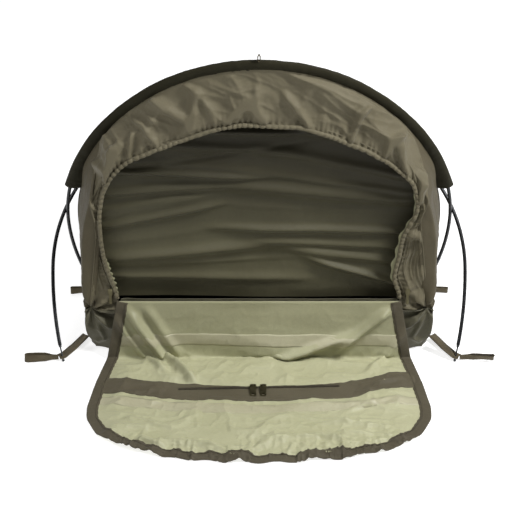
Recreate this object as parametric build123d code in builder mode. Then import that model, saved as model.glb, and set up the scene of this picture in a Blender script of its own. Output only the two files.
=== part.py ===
from math import asin, atan2, cos, degrees, radians, sin, sqrt, tan
import os

from build123d import *

os.makedirs("parts", exist_ok=True)

# One-person hooped bivy sack, pitched, with its door folded out on the ground and its
# foot end rolled up.
# Millimetres.  The ground is z = 0, the entrance faces -Y and the foot end is at +Y.
# The origin is on the ground, midway between the two points where the poles cross.

# --- driving dimensions -------------------------------------------------------------------

fabric = 2.5                  # thickness of the body's cloth solids
tub_height = 108              # seam between the waterproof tub and the upper cloth
sill_height = 137             # lower edge of the entrance
front_y = -157                # front face of the body
foot_y = 1000                 # the rest of the body's length is rolled up from here

front_foot_y = 98             # front pole stands here and leans towards the entrance
front_lean = 20.1
rear_foot_y = -200            # rear pole stands here and leans towards the foot end
rear_lean = 37.2

pole_radius = 4.0
pole_bore = 3.2
cord_radius = 1.2
tip_radius = 1.7
tip_length = 34
nub_radius = 3.2
sections = 5
joint_gap = 0.2

sleeve_inset = 22             # body cloth stays this far inside the pole
sleeve_width = 12
sleeve_rim = 8
sleeve_bore = 4.7

webbing = 20
webbing_thickness = 1.6

door_thickness = 1.6
binding_width = 22
binding_thickness = 2.4
hinge_y = front_y - 9         # door hangs from this line at the sill
bend_y = -187                 # the door reaches the ground here
door_end_y = -559
slider_gap = 0.35

# A hoop outline is tangent arcs, symmetric about X = 0: a low arc from the ground up to the
# widest height, a shoulder arc up to shoulder_angle, and one top arc that closes it.
front_hoop = dict(width=427.5, wide=248, low=664, shoulder=503, angle=54.5)
rear_hoop = dict(width=457.5, wide=212, low=832, shoulder=340, angle=28)
entrance = dict(width=338, wide=330, low=636, shoulder=180, angle=60)

# Body outlines, from the front face to the foot end, with half of the floor's width.
face_outline = dict(width=384, wide=225, low=3000, shoulder=434, angle=50)
face_floor = 384
front_floor = 362
middle_outline = dict(width=372, wide=150, low=900, shoulder=300, angle=50)
middle_floor = 352
hip_outline = dict(width=335, wide=112, low=900, shoulder=120, angle=50)
hip_floor = 320
shin_outline = dict(width=300, wide=112, low=900, shoulder=60, angle=65)
shin_floor = 286
foot_outline = dict(width=265, wide=112, low=900, shoulder=50, angle=72)
foot_floor = 252

middle_y = 165
hip_y = 560
shin_y = 800

front_plane = Plane(
    origin=(0, front_foot_y, 0),
    x_dir=(1, 0, 0),
    z_dir=(0, -cos(radians(front_lean)), -sin(radians(front_lean))),
)
rear_plane = Plane(
    origin=(0, rear_foot_y, 0),
    x_dir=(1, 0, 0),
    z_dir=(0, -cos(radians(rear_lean)), sin(radians(rear_lean))),
)


def upright(y):
    """Vertical plane across the body: local X is X, local Y is height."""
    return Plane(origin=(0, y, 0), x_dir=(1, 0, 0), z_dir=(0, -1, 0))


def hoop_arcs(hoop, offset=0.0, foot_height=0.0):
    """Arcs (centre, radius, start angle, end angle) from the right foot to the left one."""
    low_centre = (hoop["width"] - hoop["low"], hoop["wide"])
    shoulder_centre = (hoop["width"] - hoop["shoulder"], hoop["wide"])
    spread = hoop["width"] - hoop["shoulder"]
    angle = hoop["angle"]
    top_radius = hoop["shoulder"] + spread / cos(radians(angle))
    top_centre = (0, hoop["wide"] - spread * tan(radians(angle)))
    low_radius = hoop["low"] + offset
    foot_angle = degrees(asin((foot_height - hoop["wide"]) / low_radius))
    right = [
        (low_centre, low_radius, foot_angle, 0),
        (shoulder_centre, hoop["shoulder"] + offset, 0, angle),
    ]
    top = [(top_centre, top_radius + offset, angle, 180 - angle)]
    left = [
        ((-c[0], c[1]), r, 180 - last, 180 - first)
        for c, r, first, last in reversed(right)
    ]
    return right + top + left


def arc_length(arc):
    return arc[1] * radians(arc[3] - arc[2])


def draw_arcs(arcs):
    """Draw arcs in the current BuildLine."""
    for centre, radius, first, last in arcs:
        CenterArc(centre, radius, first, last - first)


def arcs_between(arcs, start, end):
    """The stretch of a chain of arcs from length start to length end."""
    stretch = []
    passed = 0.0
    for arc in arcs:
        length = arc_length(arc)
        first = max(start - passed, 0.0)
        last = min(end - passed, length)
        if last - first > 0.5:
            centre, radius, angle = arc[0], arc[1], arc[2]
            stretch.append((
                centre,
                radius,
                angle + degrees(first / radius),
                angle + degrees(last / radius),
            ))
        passed += length
    return stretch


def arcs_above(arcs, height):
    """The stretch of a chain of arcs above a height, as far on both sides."""
    passed = 0.0
    for centre, radius, first, last in arcs:
        top = centre[1] + radius * sin(radians(min(last, 90)))
        if top > height:
            angle = degrees(asin((height - centre[1]) / radius))
            passed += radius * radians(angle - first)
            break
        passed += arc_length((centre, radius, first, last))
    total = sum(arc_length(arc) for arc in arcs)
    return arcs_between(arcs, passed, total - passed)


def arc_ends(arcs):
    """First and last points of a chain of arcs."""
    ends = []
    for arc, angle in ((arcs[0], arcs[0][2]), (arcs[-1], arcs[-1][3])):
        x = arc[0][0] + arc[1] * cos(radians(angle))
        y = arc[0][1] + arc[1] * sin(radians(angle))
        ends.append((x, y))
    return ends


def outline_face(plane, outline, floor_half, inset, tilt=1.0):
    """Closed body outline on a plane; tilt is the plane's rise for each unit along it."""
    arcs = hoop_arcs(outline, -inset, tub_height / tilt)
    right, left = arc_ends(arcs)
    floor = inset / tilt
    with BuildSketch(plane) as outline_sketch:
        with BuildLine():
            draw_arcs(arcs)
            Polyline(left, (inset - floor_half, floor), (floor_half - inset, floor), right)
        make_face()
    return outline_sketch.sketch


def body_solid(inset):
    """The body's volume, drawn in by inset on every side."""
    front_body = dict(front_hoop)
    front_body["width"] = front_hoop["width"] - sleeve_inset
    front_body["shoulder"] = front_hoop["shoulder"] - sleeve_inset
    tilt = cos(radians(front_lean))
    outlines = [
        outline_face(upright(front_y + inset), face_outline, face_floor, inset),
        outline_face(front_plane, front_body, front_floor, inset, tilt),
        outline_face(upright(middle_y), middle_outline, middle_floor, inset),
        outline_face(upright(hip_y), hip_outline, hip_floor, inset),
        outline_face(upright(shin_y), shin_outline, shin_floor, inset),
        outline_face(upright(foot_y - inset), foot_outline, foot_floor, inset),
    ]
    with BuildPart() as volume:
        for near, far in zip(outlines, outlines[1:]):
            loft(sections=[near, far], ruled=True)
    return volume.part


outer_body = body_solid(0.0)
inner_body = body_solid(fabric)
with BuildPart() as shell:
    add(outer_body)
    add(inner_body, mode=Mode.SUBTRACT)

with BuildPart() as front_shell:
    add(shell.part)
    split(bisect_by=Plane.XY.offset(tub_height), keep=Keep.TOP)
    split(bisect_by=front_plane, keep=Keep.TOP)

with BuildPart() as back_shell:
    add(shell.part)
    split(bisect_by=Plane.XY.offset(tub_height), keep=Keep.TOP)
    split(bisect_by=front_plane, keep=Keep.BOTTOM)

with BuildPart() as tub_shell:
    add(shell.part)
    split(bisect_by=Plane.XY.offset(tub_height), keep=Keep.BOTTOM)
    split(bisect_by=Plane.XY.offset(fabric), keep=Keep.TOP)


def save(piece, name):
    """Label a finished piece and write its STEP file."""
    piece.label = name
    export_step(piece, f"parts/{name}.step")


# --- floor and tub ------------------------------------------------------------------------

with BuildPart() as floor_panel:
    add(shell.part)
    split(bisect_by=Plane.XY.offset(fabric), keep=Keep.BOTTOM)
save(floor_panel.part, "floor_panel")

sill_half = 308

with BuildPart() as tub_wall_front:
    add(tub_shell.part)
    split(bisect_by=upright(front_y + fabric), keep=Keep.TOP)
    with BuildSketch(upright(front_y + fabric)):
        with Locations((0, (tub_height + sill_height) / 2)):
            Rectangle(2 * sill_half, sill_height - tub_height)
    extrude(amount=fabric)
save(tub_wall_front.part, "tub_wall_front")

with BuildPart() as tub_wall_foot:
    add(tub_shell.part)
    split(bisect_by=upright(foot_y - fabric), keep=Keep.BOTTOM)
save(tub_wall_foot.part, "tub_wall_foot")

with BuildPart() as tub_sides:
    add(tub_shell.part)
    split(bisect_by=upright(front_y + fabric), keep=Keep.BOTTOM)
    split(bisect_by=upright(foot_y - fabric), keep=Keep.TOP)

with BuildPart() as tub_wall_left:
    add(tub_sides.part)
    split(bisect_by=Plane.YZ, keep=Keep.BOTTOM)
save(tub_wall_left.part, "tub_wall_left")

with BuildPart() as tub_wall_right:
    add(tub_sides.part)
    split(bisect_by=Plane.YZ, keep=Keep.TOP)
save(tub_wall_right.part, "tub_wall_right")

# --- upper cloth --------------------------------------------------------------------------

gusset_top = 365
gusset_foot_half = 370
gusset_head_half = 341

with BuildPart() as gusset_zone:
    with BuildSketch(upright(front_y - 5)):
        with BuildLine():
            Polyline(
                (gusset_foot_half, tub_height),
                (gusset_head_half, gusset_top),
                (500, gusset_top),
                (500, tub_height),
                close=True,
            )
        make_face()
        mirror(about=Plane.YZ)
    extrude(amount=-400)

with BuildPart() as entrance_zone:
    with BuildSketch(upright(front_y - 5)):
        entrance_arcs = hoop_arcs(entrance, 0, sill_height)
        entrance_right, entrance_left = arc_ends(entrance_arcs)
        with BuildLine():
            draw_arcs(entrance_arcs)
            Polyline(
                entrance_left,
                (-sill_half, tub_height - 5),
                (sill_half, tub_height - 5),
                entrance_right,
            )
        make_face()
    extrude(amount=-fabric - 6)

with BuildPart() as side_gussets:
    add(front_shell.part)
    add(gusset_zone.part, mode=Mode.INTERSECT)

for side, keep in (("left", Keep.BOTTOM), ("right", Keep.TOP)):
    with BuildPart() as side_gusset:
        add(side_gussets.part)
        split(bisect_by=Plane.YZ, keep=keep)
    save(side_gusset.part, f"side_gusset_{side}")

with BuildPart() as hood:
    add(front_shell.part)
    add(gusset_zone.part, mode=Mode.SUBTRACT)
    add(entrance_zone.part, mode=Mode.SUBTRACT)
save(hood.part, "hood")

with BuildPart() as roof_panel:
    add(back_shell.part)
    split(bisect_by=rear_plane, keep=Keep.TOP)
save(roof_panel.part, "roof_panel")

side_seam_head = 300
side_seam_foot = 150
side_seam_slope = degrees(atan2(side_seam_head - side_seam_foot, foot_y - middle_y))
side_seam = Plane(
    origin=(0, middle_y, side_seam_head),
    x_dir=(1, 0, 0),
    z_dir=(0, sin(radians(side_seam_slope)), cos(radians(side_seam_slope))),
)

with BuildPart() as rear_shell:
    add(back_shell.part)
    split(bisect_by=rear_plane, keep=Keep.BOTTOM)

with BuildPart() as foot_panel:
    add(rear_shell.part)
    split(bisect_by=upright(foot_y - fabric), keep=Keep.BOTTOM)
save(foot_panel.part, "foot_panel")

with BuildPart() as tail_panel:
    add(rear_shell.part)
    split(bisect_by=upright(foot_y - fabric), keep=Keep.TOP)
    split(bisect_by=side_seam, keep=Keep.TOP)
save(tail_panel.part, "tail_panel")

for side, keep in (("left", Keep.BOTTOM), ("right", Keep.TOP)):
    with BuildPart() as side_panel:
        add(rear_shell.part)
        split(bisect_by=upright(foot_y - fabric), keep=Keep.TOP)
        split(bisect_by=side_seam, keep=Keep.BOTTOM)
        split(bisect_by=Plane.YZ, keep=keep)
    save(side_panel.part, f"side_panel_{side}")

# --- mosquito net and the gathered edge ---------------------------------------------------

net_y = -128
net_thickness = 1.2
hem_radius = 3.0

with BuildPart() as mosquito_net:
    with BuildSketch(upright(net_y)):
        with Locations((0, 400)):
            Rectangle(1000, 800 - 2 * fabric)
    extrude(amount=-net_thickness)
    add(inner_body, mode=Mode.INTERSECT)
    add(hood.part, mode=Mode.SUBTRACT)
save(mosquito_net.part, "mosquito_net")

hem_arcs = hoop_arcs(entrance, -hem_radius - 0.3, sill_height + 2)
with BuildPart() as hood_elastic:
    with BuildLine(upright(front_y + fabric / 2)) as hem_line:
        draw_arcs(hem_arcs)
    with BuildSketch(Plane(origin=hem_line.wires()[0] @ 0, z_dir=hem_line.wires()[0] % 0)):
        Circle(hem_radius)
    sweep(path=hem_line.wires()[0])
save(hood_elastic.part, "hood_elastic")

entrance_zip_offset = 9
entrance_zip_half = 2.5
entrance_zip_thickness = 1.4
with BuildPart() as entrance_zip:
    with BuildSketch(upright(front_y)):
        outer_zip = hoop_arcs(entrance, entrance_zip_offset + entrance_zip_half, sill_height + 8)
        inner_zip = hoop_arcs(entrance, entrance_zip_offset - entrance_zip_half, sill_height + 8)
        with BuildLine():
            draw_arcs(outer_zip)
            draw_arcs(inner_zip)
            Line(arc_ends(outer_zip)[0], arc_ends(inner_zip)[0])
            Line(arc_ends(outer_zip)[1], arc_ends(inner_zip)[1])
        make_face()
    extrude(amount=entrance_zip_thickness)
save(entrance_zip.part, "entrance_zip")

entrance_slider_z = sill_height + 20
entrance_slider_x = arc_ends(hoop_arcs(entrance, entrance_zip_offset, entrance_slider_z))[0][0]
for side, name in ((-1, "left"), (1, "right")):
    with BuildPart() as entrance_slider:
        with BuildSketch(upright(front_y - entrance_zip_thickness - 0.4)):
            with Locations((side * entrance_slider_x, entrance_slider_z)):
                RectangleRounded(10, 15, 3)
            with Locations((side * entrance_slider_x, entrance_slider_z - 18)):
                RectangleRounded(6, 26, 2.5)
        extrude(amount=2.6)
    save(entrance_slider.part, f"entrance_slider_{name}")

# --- pole sleeves -------------------------------------------------------------------------

front_sleeve_height = 372
rear_sleeve_height = 420
sleeve_depth = 70


def pole_tube(plane, arcs, outer, inner=0.0):
    """Round bar or tube along a chain of arcs."""
    with BuildPart() as tube:
        with BuildLine(plane) as route:
            draw_arcs(arcs)
        path = route.wires()[0]
        with BuildSketch(Plane(origin=path @ 0, z_dir=path % 0)):
            Circle(outer)
            if inner:
                Circle(inner, mode=Mode.SUBTRACT)
        sweep(path=path)
    return tube.part


def sleeve(plane, hoop, height):
    """Flat cloth tube from the body's surface out around a pole."""
    outer_arcs = arcs_above(hoop_arcs(hoop, sleeve_rim), height)
    inner_arcs = arcs_above(hoop_arcs(hoop, -sleeve_depth), height)
    outer_right, outer_left = arc_ends(outer_arcs)
    inner_right, inner_left = arc_ends(inner_arcs)
    bore = pole_tube(plane, arcs_above(hoop_arcs(hoop), height - 20), sleeve_bore)
    with BuildPart() as cloth:
        with BuildSketch(plane):
            with BuildLine():
                draw_arcs(outer_arcs)
                draw_arcs(inner_arcs)
                Line(outer_right, inner_right)
                Line(outer_left, inner_left)
            make_face()
        extrude(amount=sleeve_width / 2, both=True)
        add(outer_body, mode=Mode.SUBTRACT)
        add(bore, mode=Mode.SUBTRACT)
    return cloth.part


sleeve_front = sleeve(front_plane, front_hoop, front_sleeve_height)
save(sleeve_front, "sleeve_front")
sleeve_rear = sleeve(rear_plane, rear_hoop, rear_sleeve_height)
save(sleeve_rear, "sleeve_rear")

hang_loop_foot = 735           # top of the sleeve's rim, measured up the front plane
hang_loop_width = 8
hang_loop_height = 17

with BuildPart() as hang_loop:
    with BuildSketch(front_plane):
        with Locations((0, hang_loop_foot + hang_loop_height / 2)):
            RectangleRounded(hang_loop_width, hang_loop_height, 2.4)
            RectangleRounded(
                hang_loop_width - 2 * webbing_thickness,
                hang_loop_height - 2 * webbing_thickness,
                1.2,
                mode=Mode.SUBTRACT,
            )
    extrude(amount=7, both=True)
save(hang_loop.part, "hang_loop")

# --- poles --------------------------------------------------------------------------------

ferrule_half = 28

for name, plane, hoop in (("front", front_plane, front_hoop), ("rear", rear_plane, rear_hoop)):
    arcs = hoop_arcs(hoop, 0, nub_radius / plane.y_dir.Z)
    length = sum(arc_length(arc) for arc in arcs)
    tube_length = length - 2 * tip_length
    step = tube_length / sections
    print(name, "pole", round(length), "mm, section", round(step))
    for number in range(sections):
        start = tip_length + number * step + joint_gap / 2
        end = start + step - joint_gap
        tube = pole_tube(plane, arcs_between(arcs, start, end), pole_radius, pole_bore)
        save(tube, f"{name}_pole_section_{number + 1}")
    with BuildPart() as ferrules:
        for number in range(1, sections):
            middle = tip_length + number * step
            stretch = arcs_between(arcs, middle - ferrule_half, middle + ferrule_half)
            add(pole_tube(plane, stretch, pole_bore - 0.05, cord_radius + 0.8))
    save(ferrules.part, f"{name}_pole_ferrules")
    with BuildPart() as tips:
        for start, end in ((0, tip_length + 12), (length - tip_length - 12, length)):
            add(pole_tube(plane, arcs_between(arcs, start, end), tip_radius))
        for start, end in ((tip_length - 4, tip_length + 12), (length - tip_length - 12, length - tip_length + 4)):
            add(pole_tube(plane, arcs_between(arcs, start, end), pole_bore - 0.05))
        for x, y in arc_ends(arcs):
            with Locations(plane.from_local_coords(Vector(x, y, 0))):
                Sphere(nub_radius)
    save(tips.part, f"{name}_pole_tips")
    cord_arcs = arcs_between(arcs, tip_length + 13, length - tip_length - 13)
    save(pole_tube(plane, cord_arcs, cord_radius), f"{name}_shock_cord")

# --- straps at the pole feet --------------------------------------------------------------

strap_height = 8.5            # the patch holds the tip just above its nub
grommet_radius = 6.0
grommet_hole = 3.8
front_eye_length = 60
rear_eye_length = 36
eye_gap = 9.0
neck_gap = 2.5
front_loop_end = 518
rear_loop_end = 449
front_strap_wall = (392, -105)
front_strap_floor = (381, -148)
rear_strap_wall = (366, 150)
rear_strap_floor = (362, 84)

patch_middle = strap_height + webbing_thickness / 2


def patch_place(plane, hoop):
    """Where a pole's axis passes the middle of the patch: X on the right side, and Y."""
    along = patch_middle / plane.y_dir.Z
    x = arc_ends(hoop_arcs(hoop, 0, along))[0][0]
    return x, plane.origin.Y + along * plane.y_dir.Y


front_foot_x, front_patch_y = patch_place(rear_plane, rear_hoop)
rear_foot_x, rear_patch_y = patch_place(front_plane, front_hoop)


def foot_strap(side, foot_x, foot_y, wall, floor):
    """Two webbing legs from the body's side to the patch that holds the pole's tip."""
    wall_x, wall_y = wall
    floor_x, floor_y = floor
    with BuildPart() as strap:
        with BuildSketch(Plane.XY.offset(strap_height)):
            with Locations((side * foot_x, foot_y)):
                Circle(webbing / 2)
            with BuildLine():
                Polyline(
                    (side * (foot_x - 4), foot_y - webbing / 2 + 1),
                    (side * wall_x, wall_y - webbing / 2),
                    (side * wall_x, wall_y + webbing / 2),
                    (side * (foot_x - 4), foot_y + webbing / 2 - 1),
                    close=True,
                )
            make_face()
            with BuildLine():
                Polyline(
                    (side * (foot_x - 2), foot_y - webbing / 2 + 1),
                    (side * floor_x, floor_y - webbing / 3),
                    (side * floor_x, floor_y + webbing / 3),
                    (side * (foot_x - 2), foot_y + webbing / 2 - 1),
                    close=True,
                )
            make_face()
            with Locations((side * foot_x, foot_y)):
                Circle(grommet_radius, mode=Mode.SUBTRACT)
        extrude(amount=webbing_thickness)
        add(outer_body, mode=Mode.SUBTRACT)
    return strap.part


def peg_loop(side, foot_x, foot_y, end_x, eye_length):
    """Webbing standing on its edge, opened into an eye for a peg, on a short flat neck."""
    neck_x = foot_x + webbing / 2 + neck_gap
    eye_x = end_x - eye_length / 2
    near_x = end_x - eye_length
    with BuildPart() as loop:
        with BuildSketch(Plane.XY):
            with Locations((side * eye_x, foot_y)):
                SlotOverall(eye_length, eye_gap + 2 * webbing_thickness)
                SlotOverall(eye_length - 2 * webbing_thickness, eye_gap, mode=Mode.SUBTRACT)
        extrude(amount=webbing * 0.8)
        with BuildSketch(Plane.XY.offset(strap_height)):
            with Locations((side * (neck_x + near_x + webbing_thickness) / 2, foot_y)):
                Rectangle(near_x + webbing_thickness - neck_x, webbing * 0.5)
        extrude(amount=webbing_thickness)
    return loop.part


def foot_grommet(side, foot_x, foot_y):
    """Eyelet in the strap's patch."""
    with BuildPart() as grommet:
        with BuildSketch(Plane.XY.offset(strap_height - 0.6)):
            with Locations((side * foot_x, foot_y)):
                Circle(grommet_radius)
                Circle(grommet_hole, mode=Mode.SUBTRACT)
        extrude(amount=webbing_thickness + 1.2)
    return grommet.part


with BuildPart() as strap_grommets:
    for side in (-1, 1):
        add(foot_grommet(side, front_foot_x, front_patch_y))
        add(foot_grommet(side, rear_foot_x, rear_patch_y))
save(strap_grommets.part, "strap_grommets")
for side, name in ((-1, "left"), (1, "right")):
    front_strap = foot_strap(side, front_foot_x, front_patch_y, front_strap_wall, front_strap_floor)
    save(front_strap, f"front_strap_{name}")
    front_loop = peg_loop(side, front_foot_x, front_patch_y, front_loop_end, front_eye_length)
    save(front_loop, f"front_peg_loop_{name}")
    rear_strap = foot_strap(side, rear_foot_x, rear_patch_y, rear_strap_wall, rear_strap_floor)
    save(rear_strap, f"rear_strap_{name}")
    rear_loop = peg_loop(side, rear_foot_x, rear_patch_y, rear_loop_end, rear_eye_length)
    save(rear_loop, f"rear_peg_loop_{name}")

# --- rolled foot end ----------------------------------------------------------------------

roll_radius = 54
roll_core = 9
roll_length = 2 * 250

with BuildPart() as foot_roll:
    with BuildSketch(Plane.YZ.offset(-roll_length / 2)):
        with Locations((foot_y + roll_radius + 1, roll_radius)):
            Circle(roll_radius)
            Circle(roll_core, mode=Mode.SUBTRACT)
    extrude(amount=roll_length)
save(foot_roll.part, "foot_roll")

# --- door ---------------------------------------------------------------------------------
# The apron hangs from the sill to the ground, and the panel lies on the ground beyond it.

sill_door_half = 308
bend_door_half = 334
wide_door_half = 360
wide_door_y = -375
round_half = 342
round_y = -448
corner_half = 305
corner_y = -492
lip_half = 170
lip_y = -546
door_reach = 450
band_near_y = -298
band_far_y = -356
band_lift = 0.9
coil_half = 172
coil_width = 6
coil_height = 2.2
tape_width = 30
tape_thickness = 0.5
far_tape_y = -379


def door_outline(inset):
    """Outline of the part of the door that lies on the ground."""
    with BuildSketch(Plane.XY) as outline:
        with BuildLine():
            side_line = Polyline(
                (bend_door_half - inset, bend_y),
                (wide_door_half - inset, wide_door_y),
            )
            corner = ThreePointArc(
                side_line @ 1,
                (round_half - inset, round_y + inset * 0.3),
                (corner_half - inset * 0.7, corner_y + inset * 0.7),
            )
            ThreePointArc(
                corner @ 1,
                (lip_half, lip_y + inset),
                (0, door_end_y + inset),
            )
            mirror(about=Plane.YZ)
            Line((bend_door_half - inset, bend_y), (inset - bend_door_half, bend_y))
        make_face()
    return outline.sketch


outer_door = door_outline(0)
inner_door = door_outline(binding_width)

with BuildPart() as door_panel:
    with BuildSketch(Plane.XY):
        add(inner_door)
    extrude(amount=door_thickness)
save(door_panel.part, "door_panel")

with BuildPart() as door_binding:
    with BuildSketch(Plane.XY):
        add(outer_door)
        add(inner_door, mode=Mode.SUBTRACT)
    extrude(amount=binding_thickness)
save(door_binding.part, "door_binding")

band_inset = binding_width + 1.0
band_outline = door_outline(band_inset)
with BuildPart() as door_zip_band:
    with BuildSketch(Plane.XY.offset(door_thickness)):
        add(band_outline)
        with Locations((0, (band_near_y + band_far_y) / 2)):
            Rectangle(2 * door_reach, band_near_y - band_far_y, mode=Mode.INTERSECT)
    extrude(amount=band_lift)
save(door_zip_band.part, "door_zip_band")

with BuildPart() as door_seam_tape:
    with BuildSketch(Plane.XY.offset(door_thickness)):
        add(band_outline)
        with Locations((0, far_tape_y)):
            Rectangle(2 * door_reach, tape_width, mode=Mode.INTERSECT)
    extrude(amount=tape_thickness)
save(door_seam_tape.part, "door_seam_tape")

zip_y = band_near_y - coil_width / 2 - 2
zip_base = door_thickness + band_lift
with BuildPart() as door_zip_coil:
    with BuildSketch(Plane.XY.offset(zip_base)):
        with Locations((0, zip_y)):
            Rectangle(2 * coil_half, coil_width)
    extrude(amount=coil_height)
save(door_zip_coil.part, "door_zip_coil")

slider_length = 14
slider_half = 7.0
slider_top = zip_base + coil_height + 3.2
pin_radius = 0.9
pin_height = slider_top + 2.6
pull_length = 28
pull_width = 13
pull_thickness = 1.4
slider_x = {"left": -13, "right": 9}
pull_drop = 11.0

for name, x in slider_x.items():
    with BuildPart() as slider:
        with BuildSketch(Plane.XY.offset(zip_base + slider_gap)):
            with Locations((x, zip_y)):
                RectangleRounded(slider_length, 2 * slider_half, 2.5)
        extrude(amount=slider_top - zip_base - slider_gap)
        with BuildSketch(Plane.YZ.offset(x - slider_length)):
            with Locations((zip_y, zip_base + coil_height / 2)):
                Rectangle(coil_width + 2 * slider_gap, coil_height + 2 * slider_gap)
        extrude(amount=2 * slider_length, mode=Mode.SUBTRACT)
        with BuildSketch(Plane.XY.offset(slider_top)):
            with Locations((x - 4.2, zip_y), (x + 4.2, zip_y)):
                Rectangle(1.6, 2.4)
        extrude(amount=3.6)
        with BuildSketch(Plane.YZ.offset(x - 4.5)):
            with Locations((zip_y, pin_height)):
                Circle(pin_radius)
        extrude(amount=9)
    save(slider.part, f"zip_slider_{name}")

    tab = Plane(
        origin=(x, zip_y, pin_height),
        x_dir=(1, 0, 0),
        z_dir=(0, -sin(radians(pull_drop)), cos(radians(pull_drop))),
    )
    with BuildPart() as pull:
        with BuildSketch(tab.offset(-pull_thickness / 2)):
            with Locations((0, -pull_length / 2 - 5)):
                RectangleRounded(pull_width, pull_length, 3)
            with Locations((0, -3.5)):
                Rectangle(5.4, 8)
            with Locations((0, -pull_length)):
                RectangleRounded(6.5, 5.5, 1.5, mode=Mode.SUBTRACT)
        extrude(amount=pull_thickness)
        with BuildSketch(Plane.YZ.offset(x - 2.7)):
            with Locations((zip_y, pin_height)):
                Circle(2.2)
        extrude(amount=5.4)
        with BuildSketch(Plane.YZ.offset(x - 6)):
            with Locations((zip_y, pin_height)):
                Circle(pin_radius + slider_gap)
        extrude(amount=12, mode=Mode.SUBTRACT)
    save(pull.part, f"zip_pull_{name}")

apron_foot = (bend_y + 1.4, door_thickness + 1.6)
apron_rise = sill_height - apron_foot[1]
apron_run = hinge_y - apron_foot[0]
apron_length = sqrt(apron_rise**2 + apron_run**2)
apron_plane = Plane(
    origin=(0, apron_foot[0], apron_foot[1]),
    x_dir=(1, 0, 0),
    z_dir=(0, -apron_rise / apron_length, apron_run / apron_length),
)
apron_gap = 1.5
apron_top = apron_length - apron_gap
apron_foot_half = bend_door_half - binding_width
apron_head_half = sill_door_half - binding_width

with BuildPart() as door_apron:
    with BuildSketch(apron_plane):
        with BuildLine():
            Polyline(
                (apron_foot_half, apron_gap),
                (apron_head_half, apron_top),
                (-apron_head_half, apron_top),
                (-apron_foot_half, apron_gap),
                close=True,
            )
        make_face()
    extrude(amount=door_thickness / 2, both=True)
save(door_apron.part, "door_apron")

with BuildPart() as apron_binding:
    with BuildSketch(apron_plane):
        with BuildLine():
            Polyline(
                (apron_foot_half, apron_gap),
                (apron_head_half, apron_top),
                (apron_head_half + binding_width, apron_top),
                (apron_foot_half + binding_width, apron_gap),
                close=True,
            )
        make_face()
        mirror(about=Plane.YZ)
    extrude(amount=binding_thickness / 2, both=True)
save(apron_binding.part, "apron_binding")

apron_tape_drop = 90
apron_tape_height = apron_length - apron_tape_drop
with BuildPart() as apron_seam_tape:
    with BuildSketch(apron_plane.offset(door_thickness / 2)):
        with Locations((0, apron_tape_height)):
            Rectangle(2 * apron_head_half, tape_width)
    extrude(amount=tape_thickness)
save(apron_seam_tape.part, "apron_seam_tape")
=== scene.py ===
import bmesh
import bpy
import numpy as np
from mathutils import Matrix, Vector


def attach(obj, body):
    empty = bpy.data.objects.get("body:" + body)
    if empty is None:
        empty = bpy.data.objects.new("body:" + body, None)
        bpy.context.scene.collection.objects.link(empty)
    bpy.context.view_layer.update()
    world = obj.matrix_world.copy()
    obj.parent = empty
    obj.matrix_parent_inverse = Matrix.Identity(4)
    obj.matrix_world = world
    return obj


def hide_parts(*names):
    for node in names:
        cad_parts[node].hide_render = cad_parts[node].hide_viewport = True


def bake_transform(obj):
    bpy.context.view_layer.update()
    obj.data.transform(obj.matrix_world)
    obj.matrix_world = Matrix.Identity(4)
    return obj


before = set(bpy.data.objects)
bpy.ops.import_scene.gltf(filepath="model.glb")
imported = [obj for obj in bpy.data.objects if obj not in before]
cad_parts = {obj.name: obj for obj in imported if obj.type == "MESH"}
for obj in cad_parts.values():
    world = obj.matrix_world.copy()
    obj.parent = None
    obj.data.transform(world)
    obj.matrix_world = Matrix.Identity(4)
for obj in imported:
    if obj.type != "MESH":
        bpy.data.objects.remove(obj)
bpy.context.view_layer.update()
scene = bpy.context.scene
print("frame loaded:", len(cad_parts), "nodes")

# camera, light and floor
cameraLook = {"elevation": 30.0, "distance": 3.2, "lens": 99.63, "sensor": 36.0,
              "aim": (0.0, -0.0904, 0.1898), "shiftX": 3.5 / 525}
lights = {
    "key": {"place": (1.35, -0.70, 2.1), "size": 0.45, "power": 64.0},
    "fill": {"place": (-1.3, -0.9, 2.4), "size": 0.9, "power": 23.0},
    "back": {"place": (-0.6, 2.2, 2.2), "size": 1.4, "power": 14.0},
}
worldLight = 0.17


def lookAt(obj, target):
    # turn an object so that its -Z axis points at a target
    direction = Vector(target) - obj.location
    obj.rotation_euler = direction.to_track_quat("-Z", "Y").to_euler()


def makeCamera():
    aim = Vector(cameraLook["aim"])
    angle = np.radians(cameraLook["elevation"])
    away = Vector((0.0, -float(np.cos(angle)), float(np.sin(angle))))
    data = bpy.data.cameras.new("camera")
    data.lens = cameraLook["lens"]
    data.sensor_width = cameraLook["sensor"]
    data.shift_x = cameraLook["shiftX"]
    data.clip_end = 30.0
    camera = bpy.data.objects.new("camera", data)
    scene.collection.objects.link(camera)
    camera.location = aim + away * cameraLook["distance"]
    lookAt(camera, aim)
    scene.camera = camera


def makeLights():
    for name, values in lights.items():
        data = bpy.data.lights.new(name, "AREA")
        data.energy = values["power"]
        data.size = values["size"]
        lamp = bpy.data.objects.new(name, data)
        scene.collection.objects.link(lamp)
        lamp.location = values["place"]
        lookAt(lamp, (0.0, 0.0, 0.25))
    world = bpy.data.worlds.new("studio")
    world.use_nodes = True
    world.node_tree.nodes["Background"].inputs["Color"].default_value = (1.0, 1.0, 1.0, 1.0)
    world.node_tree.nodes["Background"].inputs["Strength"].default_value = worldLight
    scene.world = world


makeCamera()
makeLights()
scene.view_settings.view_transform = "Standard"
print("camera and lights made")

# surface tools


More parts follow.
